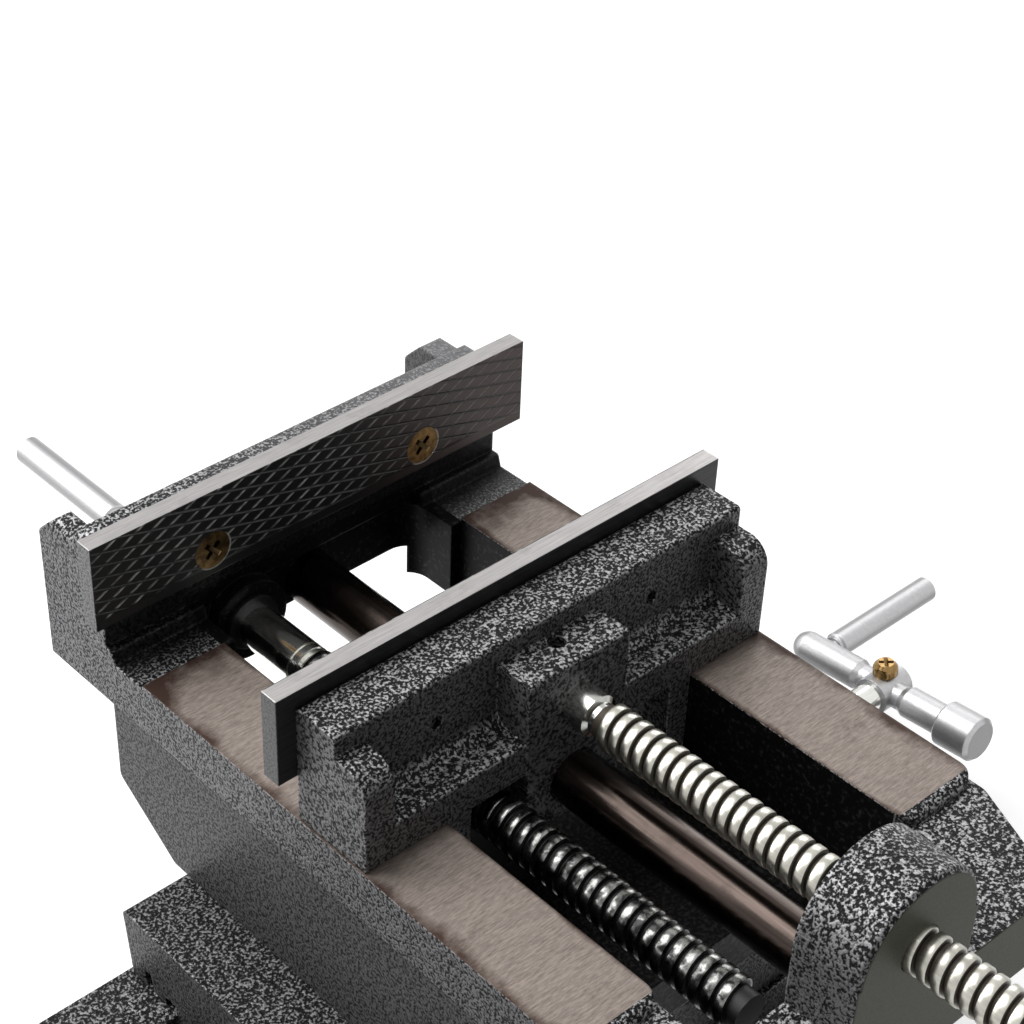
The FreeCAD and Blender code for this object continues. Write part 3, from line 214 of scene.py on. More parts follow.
class Shader:
    """Adds nodes to a tree and joins them; a socket or a value may stand for each input."""

    def __init__(self, tree):
        self.tree = tree

    def node(self, kind, inputs=None, **settings):
        node = self.tree.nodes.new(kind)
        for key, value in settings.items():
            setattr(node, key, value)
        self.feed(node, inputs or {})
        return node

    def feed(self, node, inputs):
        """Links or sets each input of a node."""
        for key, value in inputs.items():
            if isinstance(value, bpy.types.NodeSocket):
                self.tree.links.new(value, node.inputs[key])
            else:
                node.inputs[key].default_value = value

    def where(self):
        """Object coordinates, which are the frame's own in metres."""
        return self.node("ShaderNodeTexCoord").outputs["Object"]

    def normal(self):
        return self.node("ShaderNodeNewGeometry").outputs["Normal"]

    def parts(self, vector):
        """The X, Y and Z of a vector."""
        return self.node("ShaderNodeSeparateXYZ", {0: vector}).outputs

    def vector(self, operation, a, b=(0, 0, 0)):
        return self.node("ShaderNodeVectorMath", {0: a, 1: b}, operation=operation).outputs

    def product(self, first, *others):
        for other in others:
            first = self.math("MULTIPLY", first, other)
        return first

    def math(self, operation, a, b=0.0, clamp=False):
        return self.node("ShaderNodeMath", {0: a, 1: b}, operation=operation, use_clamp=clamp).outputs[0]

    def ramp(self, value, low, high):
        """Zero at low, one at high, straight between them; low may be the greater."""
        inputs = {"Value": value, "From Min": low, "From Max": high}
        return self.node("ShaderNodeMapRange", inputs, clamp=True).outputs[0]

    def mix(self, factor, a, b):
        """Colour a where factor is zero, colour b where it is one."""
        node = self.node("ShaderNodeMix", data_type="RGBA")
        self.feed(node, {0: factor, 6: a, 7: b})
        return node.outputs[2]

    def noise(self, vector, scale, detail=2.0, rough=0.5):
        node = self.node("ShaderNodeTexNoise", {"Vector": vector, "Scale": scale, "Detail": detail,
                                                "Roughness": rough})
        return node.outputs["Fac"]

    def bump(self, height, strength, distance, normal=None):
        inputs = {"Height": height, "Strength": strength, "Distance": distance}
        if normal is not None:
            inputs["Normal"] = normal
        return self.node("ShaderNodeBump", inputs).outputs["Normal"]


def rgba(colour, factor=1.0):
    return (colour[0] * factor, colour[1] * factor, colour[2] * factor, 1.0)


def new_group(name, inputs, outputs):
    tree = bpy.data.node_groups.new(name, "ShaderNodeTree")
    for label, kind, value in inputs:
        socket = tree.interface.new_socket(label, in_out="INPUT", socket_type=kind)
        socket.default_value = value
    for label, kind in outputs:
        tree.interface.new_socket(label, in_out="OUTPUT", socket_type=kind)
    shader = Shader(tree)
    return shader, shader.node("NodeGroupInput"), shader.node("NodeGroupOutput")


def hammertone_group():
    """Hammered paint: silver islands in dark veins, with painted light on the upward faces."""
    shader, inside, out = new_group(
        "Hammertone",
        [("Dark", "NodeSocketColor", (0.01, 0.01, 0.01, 1)), ("Light", "NodeSocketColor", (0.3, 0.3, 0.3, 1)),
         ("Cells per metre", "NodeSocketFloat", 800.0)],
        [("Color", "NodeSocketColor"), ("Height", "NodeSocketFloat"), ("Island", "NodeSocketFloat")])
    where = shader.where()
    cells = inside.outputs["Cells per metre"]
    fine = shader.noise(where, cells, 1.6, 0.60)
    broad = shader.noise(where, shader.product(cells, 0.45), 1.0)
    mixed = shader.math("ADD", shader.product(fine, 0.80), shader.product(broad, 0.20))
    facing = shader.parts(shader.normal())
    upward = shader.ramp(facing["Z"], 0.3, 0.8)
    low = shader.math("ADD", 0.43, shader.product(upward, 0.06))
    crisp = shader.ramp(mixed, low, shader.math("ADD", low, 0.12))
    behind = shader.vector("DOT_PRODUCT", where, SMOOTHER_ALONG)["Value"]
    soft = shader.product(shader.ramp(behind, 40 * MM, 115 * MM), 0.75)
    island = shader.math("ADD", shader.product(crisp, shader.math("SUBTRACT", 1.0, soft)),
                         shader.product(soft, 0.38))
    # Painted light: the silver islands are made brighter on upward faces, which face the lamps.
    lit_top_scale = shader.math("ADD", 0.95, shader.product(upward, 1.35))
    bright = shader.node("ShaderNodeVectorMath", {0: inside.outputs["Light"]}, operation="SCALE")
    shader.tree.links.new(lit_top_scale, bright.inputs["Scale"])
    colour = shader.mix(island, inside.outputs["Dark"], bright.outputs[0])
    links = shader.tree.links
    links.new(colour, out.inputs["Color"])
    links.new(mixed, out.inputs["Height"])
    links.new(island, out.inputs["Island"])
    return shader.tree


def edge_group():
    """Rounded edges: a softened normal, and a mask that is one along each edge."""
    shader, inside, out = new_group("Rounded edge", [("Radius", "NodeSocketFloat", 0.0008)],
                                    [("Normal", "NodeSocketVector"), ("Mask", "NodeSocketFloat")])
    bevel = shader.node("ShaderNodeBevel", {"Radius": inside.outputs["Radius"]}, samples=6)
    flat = shader.normal()
    facing = shader.vector("DOT_PRODUCT", bevel.outputs[0], flat)["Value"]
    mask = shader.ramp(facing, 0.998, 0.90)
    shader.tree.links.new(bevel.outputs[0], out.inputs["Normal"])
    shader.tree.links.new(mask, out.inputs["Mask"])
    return shader.tree


def grind_group():
    """Ground metal: fine streaks along one axis, with stains."""
    shader, inside, out = new_group(
        "Grind marks",
        [("Along", "NodeSocketVector", (40.0, 1400.0, 1400.0)), ("Stain scale", "NodeSocketFloat", 60.0)],
        [("Streak", "NodeSocketFloat"), ("Stain", "NodeSocketFloat")])
    where = shader.where()
    stretched = shader.vector("MULTIPLY", where, inside.outputs["Along"])[0]
    streak = shader.noise(stretched, 1.0, 4.0, 0.7)
    stain = shader.noise(where, inside.outputs["Stain scale"], 5.0, 0.65)
    shader.tree.links.new(streak, out.inputs["Streak"])
    shader.tree.links.new(stain, out.inputs["Stain"])
    return shader.tree


GROUPS = {}


def shared(name):
    makers = {"hammertone": hammertone_group, "edge": edge_group, "grind": grind_group}
    if name not in GROUPS:
        GROUPS[name] = makers[name]()
    return GROUPS[name]


def use_group(shader, name, inputs):
    node = shader.tree.nodes.new("ShaderNodeGroup")
    node.node_tree = shared(name)
    shader.feed(node, inputs)
    return node


def new_material(name):
    material = bpy.data.materials.new(name)
    material.use_nodes = True
    material.node_tree.nodes.clear()
    shader = Shader(material.node_tree)
    surface = shader.node("ShaderNodeBsdfPrincipled")
    out = shader.node("ShaderNodeOutputMaterial")
    shader.tree.links.new(surface.outputs[0], out.inputs[0])
    return material, shader, surface


def casting_material(name, settings, bare_areas, tone=1.0):
    """Hammertone paint; bare_areas builds masks for what is machined and for painted shade, each with its
    colour and grain; a tone below one gives a darker copy of the paint as painted shade.
    """
    material, shader, surface = new_material(name)
    paint = use_group(shader, "hammertone", {"Dark": rgba(settings.dark), "Light": rgba(settings.light, tone),
                                             "Cells per metre": 1.0 / settings.cell})
    edge = use_group(shader, "edge", {"Radius": settings.edge})
    colour = paint.outputs["Color"]
    island = paint.outputs["Island"]
    # Painted highlight: the silver islands along the rounded edges are lightened.
    glint = shader.product(edge.outputs["Mask"], island, 0.5)
    colour = shader.mix(glint, colour, rgba(settings.edge_highlight))
    rough = shader.math("SUBTRACT", 0.42, shader.product(island, 0.10))
    metal = shader.product(island, BARE_METALLIC)
    height = paint.outputs["Height"]
    place = shader.parts(shader.where())
    for mask, bare_colour, bare_rough in bare_areas(shader, place):
        colour = shader.mix(mask, colour, bare_colour)
        keep = shader.math("SUBTRACT", 1.0, mask)
        rough = shader.math("ADD", shader.product(rough, keep), shader.product(mask, bare_rough))
        metal = shader.math("ADD", shader.product(metal, keep), shader.product(mask, BARE_METALLIC))
        height = shader.product(height, keep)
    normal = shader.bump(height, 1.0, 0.6 * MM, edge.outputs["Normal"])
    shader.feed(surface, {"Base Color": colour, "Roughness": rough, "Metallic": metal, "Normal": normal,
                          "Specular IOR Level": 0.10})
    return material


def between(shader, value, low, high):
    """One between low and high, zero elsewhere."""
    return shader.product(shader.math("GREATER_THAN", value, low), shader.math("LESS_THAN", value, high))


def nothing_bare(shader, place):
    """For castings that are painted all over."""
    return []


def saddle_bare(shader, place):
    """The saddle's dovetail and flat top are oily iron, painted near black as shade deep under the slot."""
    raised = shader.math("GREATER_THAN", place["Z"], SADDLE_TOP_Z)
    inside = shader.math("LESS_THAN", shader.math("ABSOLUTE", place["X"]), SADDLE_TOP_HALF)
    above = shader.product(raised, inside)
    grain = shader.noise(shader.where(), 900.0, 3.0)
    # Near-black oily iron, partly painted shade.
    tone = shader.mix(shader.ramp(grain, 0.45, 0.75), rgba((0.006, 0.006, 0.006)), rgba((0.05, 0.05, 0.048)))
    return [(above, tone, 0.40)]


def bed_bare(shader, place):
    """Painted shade on the lower sides and under the fixed plate, black slot, ground ways on top and milled
    faces at the front of the bed.
    """
    settings = bpy.context.scene.vise.paint
    front_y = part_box("vise_bed")[0].y
    normal = shader.parts(shader.normal())
    across = shader.math("ABSOLUTE", place["X"])
    return [shaded_side(shader, place, across, settings), *black_areas(shader, place, normal, across),
            bare_way(shader, place, normal, across, settings), milled_front(shader, place, front_y, settings)]


def shaded_side(shader, place, across, settings):
    """Painted shade on the skirt's sides, which hang back under the bed's upper edge."""
    low_side = shader.product(shader.math("GREATER_THAN", across, SKIRT_HALF),
                              shader.math("LESS_THAN", place["Z"], STEP_Z))
    shade = use_group(shader, "hammertone", {"Dark": rgba(settings.dark), "Light": rgba(settings.light, 0.5),
                                             "Cells per metre": 1.0 / settings.cell})
    return shader.product(low_side, 0.8), shade.outputs["Color"], 0.42


def black_areas(shader, place, normal, across):
    """Painted shade in the lee of the fixed jaw's foot, then the slot's walls and the rear slot end, which
    are near black.
    """
    slot = shader.math("LESS_THAN", across, SLOT_HALF)
    length = between(shader, place["Y"], SLOT_FRONT_Y, SLOT_REAR_Y)
    below = shader.math("LESS_THAN", place["Z"], WAY_Z - 0.4 * MM)
    upright = shader.math("LESS_THAN", normal["Z"], 0.5)
    foot = shader.product(slot, between(shader, place["Y"], WAY_REAR_Y, WALL_FACE_Y),
                          shader.math("LESS_THAN", place["Z"], PLATE_FOOT_Z))
    shaft = shader.math("MAXIMUM", shader.product(slot, length, below, upright), foot)
    land = shader.product(between(shader, place["Y"], 74.5 * MM, 93.0 * MM),
                          between(shader, place["Z"], 108.0 * MM, 128.0 * MM),
                          shader.math("LESS_THAN", across, 70.1 * MM))
    # Painted shade under the fixed plate, deepening toward the jaw's foot.
    lee = shader.product(land, shader.ramp(place["Y"], 76 * MM, 84 * MM), 0.85)
    specks = shader.ramp(shader.noise(shader.where(), 700.0, 2.0), 0.55, 0.80)
    black = shader.mix(specks, rgba((0.004, 0.004, 0.004)), rgba((0.05, 0.05, 0.05)))
    return (lee, black, 0.5), (shaft, black, 0.45)


def bare_way(shader, place, normal, across, settings):
    """Ground tops of the ways, with a ragged end at the land and dirt along their edges."""
    wobble = shader.noise(shader.where(), 160.0, 4.0, 0.6)
    ragged = shader.product(shader.math("SUBTRACT", wobble, 0.5), 12 * MM)
    along = shader.ramp(shader.math("ADD", place["Y"], ragged), WAY_REAR_Y + 1.5 * MM, WAY_REAR_Y - 0.5 * MM)
    level = between(shader, place["Z"], WAY_Z - 0.3 * MM, WAY_Z + 0.3 * MM)
    way = shader.product(level, shader.math("GREATER_THAN", normal["Z"], 0.9), along,
                         shader.math("GREATER_THAN", place["Y"], WAY_FRONT_Y))
    grind = use_group(shader, "grind", {"Along": (330.0, 2400.0, 2400.0), "Stain scale": 75.0})
    outer = shader.ramp(across, 65.0 * MM, 70.6 * MM)
    inner = shader.ramp(across, 45.4 * MM, 43.0 * MM)
    rear = shader.ramp(place["Y"], WAY_REAR_Y - 14 * MM, WAY_REAR_Y)
    dirt = shader.math("ADD", shader.math("ADD", outer, inner), rear, clamp=True)
    dirty = shader.ramp(shader.math("ADD", shader.product(dirt, 0.42), grind.outputs["Stain"]), 0.62, 0.92)
    streak = shader.ramp(grind.outputs["Streak"], 0.30, 0.72)
    bare = shader.mix(streak, rgba(settings.way, 0.55), rgba(settings.way, 1.30))
    return way, shader.mix(dirty, bare, rgba(settings.way_dirt)), 0.46


def milled_front(shader, place, front_y, settings):
    face = shader.math("LESS_THAN", place["Y"], front_y + 0.15 * MM)
    fine = shader.ramp(shader.noise(shader.where(), 1800.0, 3.0), 0.3, 0.7)
    return face, shader.mix(fine, rgba(settings.front, 0.8), rgba(settings.front, 1.15)), 0.5


def screw_ring(shader, place, node):
    """Masks of the countersinks' rims round the two screws of a plate, and of the rims' lower right part,
    which gets a painted highlight.
    """
    low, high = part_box(SCREWS[node])
    head_r = (high.z - low.z) / 2
    side = shader.math("SUBTRACT", shader.math("ABSOLUTE", place["X"]), high.x - head_r)
    rise = shader.math("SUBTRACT", place["Z"], (low.z + high.z) / 2)
    squares = shader.math("ADD", shader.product(side, side), shader.product(rise, rise))
    radius = shader.math("SQRT", squares)
    ring = between(shader, radius, head_r - 0.05 * MM, head_r + 0.45 * MM)
    outward = shader.product(side, shader.math("SIGN", place["X"]))
    return ring, shader.ramp(shader.math("SUBTRACT", outward, rise), 0.0, 2.4 * MM)


def brass_material(name, colour, node):
    """Brass screws whose cross recesses, and all but their end faces, are darkened as painted shade."""
    material, shader, surface = new_material(name)
    low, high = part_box(SCREWS[node])
    place = shader.parts(shader.where())
    grind = use_group(shader, "grind", {"Along": (700.0, 700.0, 700.0), "Stain scale": 400.0})
    tone = shader.mix(shader.ramp(grind.outputs["Stain"], 0.42, 0.62), rgba(colour, 1.15), rgba(colour, 0.45))
    # Painted shade on all but the two end faces: the cross recess and the head's sunk sides.
    inside = between(shader, place["Y"], low.y + 0.12 * MM, high.y - 0.12 * MM)
    tone = shader.mix(shader.product(inside, 0.85), tone, rgba((0.008, 0.005, 0.003)))
    shader.feed(surface, {"Base Color": tone, "Roughness": 0.32, "Metallic": 0.9,
                          "Normal": shader.bump(grind.outputs["Streak"], 0.1, GRAIN_DEPTH)})
    return material


def plate_material(name, knurl, metal, node, outward):
    """Ground steel plate whose clamping face is blackened and knurled."""
    low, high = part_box(node)
    face_y = low.y if outward < 0 else high.y
    end_tone = metal.plate_end if outward < 0 else metal.plate_end_dark
    material, shader, surface = new_material(name)
    where = shader.where()
    place = shader.parts(where)
    grind = use_group(shader, "grind", {"Along": (90.0, 2500.0, 2500.0), "Stain scale": 90.0})
    edge = use_group(shader, "edge", {"Radius": 0.5 * MM})
    streak = shader.ramp(grind.outputs["Streak"], 0.25, 0.75)
    ground = shader.mix(streak, rgba(metal.plate, 0.72), rgba(metal.plate, 1.25))
    stained = shader.ramp(grind.outputs["Stain"], 0.55, 0.80)
    ground = shader.mix(shader.product(stained, 0.5), ground, rgba(metal.plate, 0.45))
    on_face = shader.math("ABSOLUTE", shader.math("SUBTRACT", place["Y"], face_y))
    on_face = shader.math("LESS_THAN", on_face, 0.2 * MM)
    strip_z = low.z + knurl.strip
    knurled = shader.product(on_face, shader.ramp(place["Z"], strip_z - 0.4 * MM, strip_z + 0.4 * MM))
    face, groove = knurled_face(shader, where, place, knurl, metal, knurled)
    ring, lower = screw_ring(shader, place, node)
    # Painted light on the countersink rims: a highlight on the lower right, shade on the rest.
    face = shader.mix(ring, face, shader.mix(lower, rgba(metal.plate_dark), rgba((0.50, 0.50, 0.48))))
    colour = shader.mix(on_face, ground, face)
    facing = shader.parts(shader.normal())
    rear = shader.math("GREATER_THAN", shader.product(facing["Y"], -outward), 0.5)
    ends = shader.math("GREATER_THAN", shader.math("ABSOLUTE", facing["X"]), 0.5)
    specks = shader.ramp(shader.noise(where, 1500.0, 2.0), 0.40, 0.58)
    rear_tone = shader.mix(streak, rgba((0.012, 0.012, 0.012)), rgba((0.05, 0.05, 0.05)))
    colour = shader.mix(rear, colour, rear_tone)
    colour = shader.mix(ends, colour, shader.mix(specks, rgba((0.03, 0.03, 0.03)), rgba(end_tone)))
    relief = shader.product(shader.math("SUBTRACT", 1.0, groove), knurled)
    painted = shader.math("MAXIMUM", on_face, ends)
    shader.feed(surface, {"Base Color": colour,
                          "Roughness": shader.math("ADD", 0.34, shader.product(painted, 0.12)),
                          "Metallic": shader.math("SUBTRACT", 0.75, shader.product(painted, 0.5)),
                          "Normal": shader.bump(relief, 0.6, 0.5 * MM, edge.outputs["Normal"])})
    return material


def knurled_face(shader, where, place, knurl, metal, knurled):
    """Colour of a plate's face, with painted highlights on the groove sides and painted shade in the falling
    grooves, and a mask that is one along its grooves.
    """
    falling, rising = (knurl_wave(shader, place, knurl, angle) for angle in (knurl.shallow, -knurl.steep))
    groove = shader.ramp(shader.math("MINIMUM", falling, rising), 0.20, 0.0)
    # Painted highlights: short strokes where the groove sides catch the light.
    strokes = shader.product(shader.ramp(rising, 0.30, 0.10), shader.ramp(falling, 0.25, 0.50))
    faint = shader.product(shader.ramp(falling, 0.14, 0.04), 0.25)
    shine = shader.math("MAXIMUM", strokes, faint)
    broken = shader.ramp(shader.noise(where, 420.0, 2.0), 0.34, 0.62)
    patch = shader.product(broken, shader.ramp(shader.noise(where, 45.0, 3.0), 0.30, 0.62))
    brown = shader.ramp(place["X"], 10 * MM, 60 * MM)
    dark = shader.mix(shader.product(brown, 0.9), rgba(metal.plate_dark), rgba(metal.plate_brown))
    # Painted shade in the falling grooves.
    furrow_shade = shader.product(shader.ramp(falling, 0.30, 0.10), knurled, 0.8)
    dark = shader.mix(furrow_shade, dark, rgba((0.004, 0.004, 0.004)))
    lit = shader.product(shine, knurled, shader.math("ADD", patch, 0.2))
    lit = shader.product(lit, shader.math("SUBTRACT", 1.0, shader.product(brown, 0.8)), 0.85)
    return shader.mix(lit, dark, rgba((0.50, 0.50, 0.49))), groove


def knurl_wave(shader, place, knurl, angle):
    """Zero along each line of one family, one midway between two of them."""
    across = shader.math("ADD", shader.product(place["X"], math.sin(angle)),
                         shader.product(place["Z"], math.cos(angle)))
    return shader.math("DIVIDE", shader.math("PINGPONG", across, knurl.pitch / 2), knurl.pitch / 2)


def thread_shade(shader, centre, along, root_r, crest_r):
    """Mask that is one at the bottom of a thread round the axis through centre, which runs along X or Y."""
    spot = shader.vector("SUBTRACT", shader.where(), tuple(centre))[0]
    flat = shader.vector("MULTIPLY", spot, tuple(1.0 - a for a in along))[0]
    radius = shader.vector("LENGTH", flat)["Value"]
    return shader.ramp(radius, crest_r - 0.25 * MM, root_r + 0.3 * MM)


def thread_material(name, colour, groove, rough, centre, along, diameter, thread, wet=0.0):
    """Turned thread: bright crests, dirt and painted shade in the grooves; wet adds black oily patches."""
    material, shader, surface = new_material(name)
    across = tuple(60.0 if a else 700.0 for a in along)
    grind = use_group(shader, "grind", {"Along": across, "Stain scale": 260.0})
    streak = shader.ramp(grind.outputs["Streak"], 0.30, 0.70)
    tone = shader.mix(streak, rgba(colour, 0.75), rgba(colour, 1.25))
    patches = shader.ramp(grind.outputs["Stain"], 0.62, 0.42)
    tone = shader.mix(shader.product(patches, wet), tone, rgba(groove))
    crest_r = diameter / 2
    # Dirt and painted shade toward the thread's root.
    groove_dirt_shade = thread_shade(shader, centre, along, crest_r - thread.depth, crest_r)
    tone = shader.mix(groove_dirt_shade, tone, rgba(groove))
    shader.feed(surface, {"Base Color": tone,
                          "Roughness": shader.math("ADD", rough, shader.product(groove_dirt_shade, 0.25)),
                          "Metallic": shader.math("SUBTRACT", 1.0, shader.product(groove_dirt_shade, 0.5)),
                          "Normal": shader.bump(grind.outputs["Streak"], 0.10, GRAIN_DEPTH)})
    return material


def satin_material(name, colour):
    """Satin metal whose sides fall off into a darker band and rim, a painted reflection such as round bars
    show against a pale room.
    """
    material, shader, surface = new_material(name)
    grind = use_group(shader, "grind", {"Along": (900.0, 900.0, 900.0), "Stain scale": 90.0})
    edge = use_group(shader, "edge", {"Radius": 0.5 * MM})
    facing = shader.node("ShaderNodeLayerWeight", {"Blend": 0.5}).outputs["Facing"]
    # Painted reflection: a darker band and rim by the facing angle.
    band = shader.product(shader.ramp(facing, 0.30, 0.48), shader.ramp(facing, 0.86, 0.66), 0.75)
    streak = shader.ramp(grind.outputs["Streak"], 0.3, 0.7)
    tone = shader.mix(streak, rgba(colour, 0.92), rgba(colour, 1.08))
    tone = shader.mix(band, tone, rgba(colour, 0.42))
    rim = shader.product(shader.ramp(facing, 0.88, 1.0), 0.5)
    tone = shader.mix(rim, tone, rgba(colour, 0.6))
    normal = shader.bump(grind.outputs["Streak"], 0.06, GRAIN_DEPTH, edge.outputs["Normal"])
    shader.feed(surface, {"Base Color": tone, "Roughness": 0.42, "Metallic": 0.8, "Normal": normal})
    return material


def metal_material(name, colour, rough, spread, metallic=1.0, along=(600.0, 600.0, 600.0), stain=0.5,
                   edge_radius=0.0):
    """Bare metal with grain, stains and, where asked, softened edges."""
    material, shader, surface = new_material(name)
    grind = use_group(shader, "grind", {"Along": along, "Stain scale": 110.0})
    streak = shader.ramp(grind.outputs["Streak"], 0.25, 0.75)
    tone = shader.mix(streak, rgba(colour, 1.0 - spread), rgba(colour, 1.0 + spread))
    stained = shader.ramp(grind.outputs["Stain"], 0.50, 0.80)
    tone = shader.mix(shader.product(stained, stain), tone, rgba(colour, 0.35))
    soft = None
    if edge_radius > 0:
        soft = use_group(shader, "edge", {"Radius": edge_radius}).outputs["Normal"]
    shader.feed(surface, {"Base Color": tone, "Metallic": metallic,
                          "Roughness": shader.math("ADD", rough, shader.product(stained, 0.15)),
                          "Normal": shader.bump(grind.outputs["Streak"], 0.12, GRAIN_DEPTH, soft)})
    return material


def shaft_material(name, along, tone=0.80):
    """Bright turned steel of the plain journals."""
    return metal_material(name, (tone, tone, tone * 0.95), 0.13, 0.10, along=along, stain=0.15)


def bright_thread(name, axis, along, diameter, vise):
    metal = vise.metal
    return thread_material(name, metal.thread, metal.groove, 0.30, axis, along, diameter, vise.thread)


def dress(names, material):
    for name in names:
        slots = NODES[name].data.materials
        slots.clear()
        slots.append(material)


# Modelling helpers

def deselect():
    if bpy.context.object and bpy.context.object.mode != "OBJECT":
        bpy.ops.object.mode_set(mode="OBJECT")
    bpy.ops.object.select_all(action="DESELECT")


def turned(name, profile, start, direction, steps, lead=0.0, turns=1):
    """Turns a profile of (distance along the axis, radius) points; lead makes it a helix of that pitch."""
    deselect()
    bpy.ops.mesh.primitive_circle_add(vertices=len(profile), radius=MM, fill_type="NOTHING")
    piece = bpy.context.object
    piece.name = name
    for vertex, (along, radius) in zip(piece.data.vertices, profile):
        vertex.co = (radius, 0, along)
    bpy.ops.object.mode_set(mode="EDIT")
    bpy.ops.mesh.select_mode(type="EDGE")
    bpy.ops.mesh.select_all(action="DESELECT")
    bpy.ops.object.mode_set(mode="OBJECT")
    last = len(profile) - 1
    for edge in piece.data.edges:
        edge.select = {edge.vertices[0], edge.vertices[1]} == {0, last}
    bpy.ops.object.mode_set(mode="EDIT")
    bpy.ops.mesh.delete(type="EDGE")
    bpy.ops.object.mode_set(mode="OBJECT")
    screw = piece.modifiers.new("Turn", "SCREW")
    screw.axis = "Z"
    screw.steps = steps
    screw.render_steps = steps
    screw.screw_offset = lead
    screw.iterations = turns
    screw.use_merge_vertices = True
    screw.merge_threshold = 0.00001
    bpy.ops.object.modifier_apply(modifier="Turn")
    turn = Vector((0, 0, 1)).rotation_difference(direction).to_matrix().to_4x4()
    piece.data.transform(Matrix.Translation(start) @ turn)
    finish_mesh(piece)
    return piece


def finish_mesh(piece, angle=35.0):
    deselect()
    piece.select_set(True)
    bpy.context.view_layer.objects.active = piece
    bpy.ops.object.mode_set(mode="EDIT")
    bpy.ops.mesh.select_all(action="SELECT")
    bpy.ops.mesh.remove_doubles(threshold=0.000005)
    bpy.ops.mesh.normals_make_consistent(inside=False)
    bpy.ops.object.mode_set(mode="OBJECT")
    bpy.ops.object.shade_smooth_by_angle(angle=math.radians(angle))


def joined(name, pieces):
    deselect()
    for piece in pieces:
        piece.select_set(True)
    bpy.context.view_layer.objects.active = pieces[0]
    bpy.ops.object.join()
    whole = bpy.context.object
    whole.name = name
    return whole


def settle(piece, material, body, slot, *replaced):
    piece.data.materials.clear()
    piece.data.materials.append(material)
    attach(piece, body)
    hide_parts(*replaced)


def thread_piece(name, settings, diameter, start, direction, length):
    """Helical thread from start along direction, closed at both ends by its core."""
    crest_r = diameter / 2
    root_r = crest_r - settings.depth
    flank = (settings.pitch - settings.crest - settings.root) / 2
    soft = 0.22 * MM
    rise = settings.root + flank
    fall = rise + settings.crest
    turns = int(length / settings.pitch) - 1
    shoulder_r = crest_r - soft * 0.8
    profile = [(0.0, root_r), (settings.root, root_r), (rise - soft, shoulder_r), (rise + soft, crest_r),
               (fall - soft, crest_r), (fall + soft, shoulder_r), (settings.pitch, root_r)]
    helix = turned(name + "_helix", profile, start, direction, settings.steps, settings.pitch, turns)
    core_r = root_r + 0.05 * MM
    core = [(0.0, 0.0), (0.0, core_r), (length, core_r), (length, 0.0)]
    return [helix, turned(name + "_core", core, start, direction, settings.steps)]


# Operators

class VISE_OT_castings(bpy.types.Operator):
    """Paints the castings and bares what is machined"""
    bl_idname = "vise.castings"
    bl_label = "Castings"

    def execute(self, context):
        settings = context.scene.vise.paint
        bed = casting_material("hammertone_bed", settings, bed_bare)
        plain = casting_material("hammertone", settings, nothing_bare)
        # Painted shade: the saddle and base take darker copies of the same paint, under the bed.
        saddle = casting_material("hammertone_saddle", settings, saddle_bare, 0.55)
        base = casting_material("hammertone_base", settings, nothing_bare, 0.65)
        dress(["vise_bed"], bed)
        dress(["saddle"], saddle)
        dress(["base", "cross_bearing_bracket"], base)
        dress(["moving_jaw"], plain)
        return {"FINISHED"}


class VISE_OT_plates(bpy.types.Operator):
    """Finishes the two jaw plates and their brass screws"""
    bl_idname = "vise.plates"
    bl_label = "Jaw plates"

    def execute(self, context):
        vise = context.scene.vise
        for node, outward in (("fixed_jaw_plate", -1), ("moving_jaw_plate", 1)):
            dress([node], plate_material(node + "_steel", vise.knurl, vise.metal, node, outward))
            dress([SCREWS[node]], brass_material(SCREWS[node] + "_brass", vise.metal.brass, node))
        return {"FINISHED"}


class VISE_OT_fasteners(bpy.types.Operator):
    """Finishes gibs, nuts, keepers, dials and black fasteners"""
    bl_idname = "vise.fasteners"
    bl_label = "Fasteners and inner pieces"

    def execute(self, context):
        metal = context.scene.vise.metal
        black = metal_material("black_oxide", metal.black, 0.42, 0.3, metallic=0.7, edge_radius=0.3 * MM)
        bronze = metal_material("bronze_nut", metal.bronze, 0.36, 0.2, edge_radius=0.4 * MM)
        # The long nut is painted near black as shade inside the vise.
        iron = metal_material("iron_nut", metal.iron, 0.45, 0.5, metallic=0.4, edge_radius=0.4 * MM)
        oiled = metal_material("oiled_strip", metal.oiled, 0.36, 0.3, edge_radius=0.4 * MM)
        rod = metal_material("guide_rod_steel", metal.rod, 0.20, 0.5, along=(900.0, 25.0, 900.0), stain=0.6)
        satin = satin_material("dial_satin", metal.crank)
        dress([n for n in NODES if "lock_nuts" in n or "gib_screws" in n], black)
        dress(["cross_bracket_screws", "cross_nut_screws", "long_nut_screws", "keeper_screws",
               "jaw_set_screw", "long_retaining_ring"], black)
        dress(["cross_nut"], bronze)
        dress(["long_nut"], iron)
        dress(["cross_gib", "long_gib", "keeper_strips"], oiled)
        dress(["guide_rod"], rod)
        dress(["cross_dial", "long_dial"], satin)
        return {"FINISHED"}


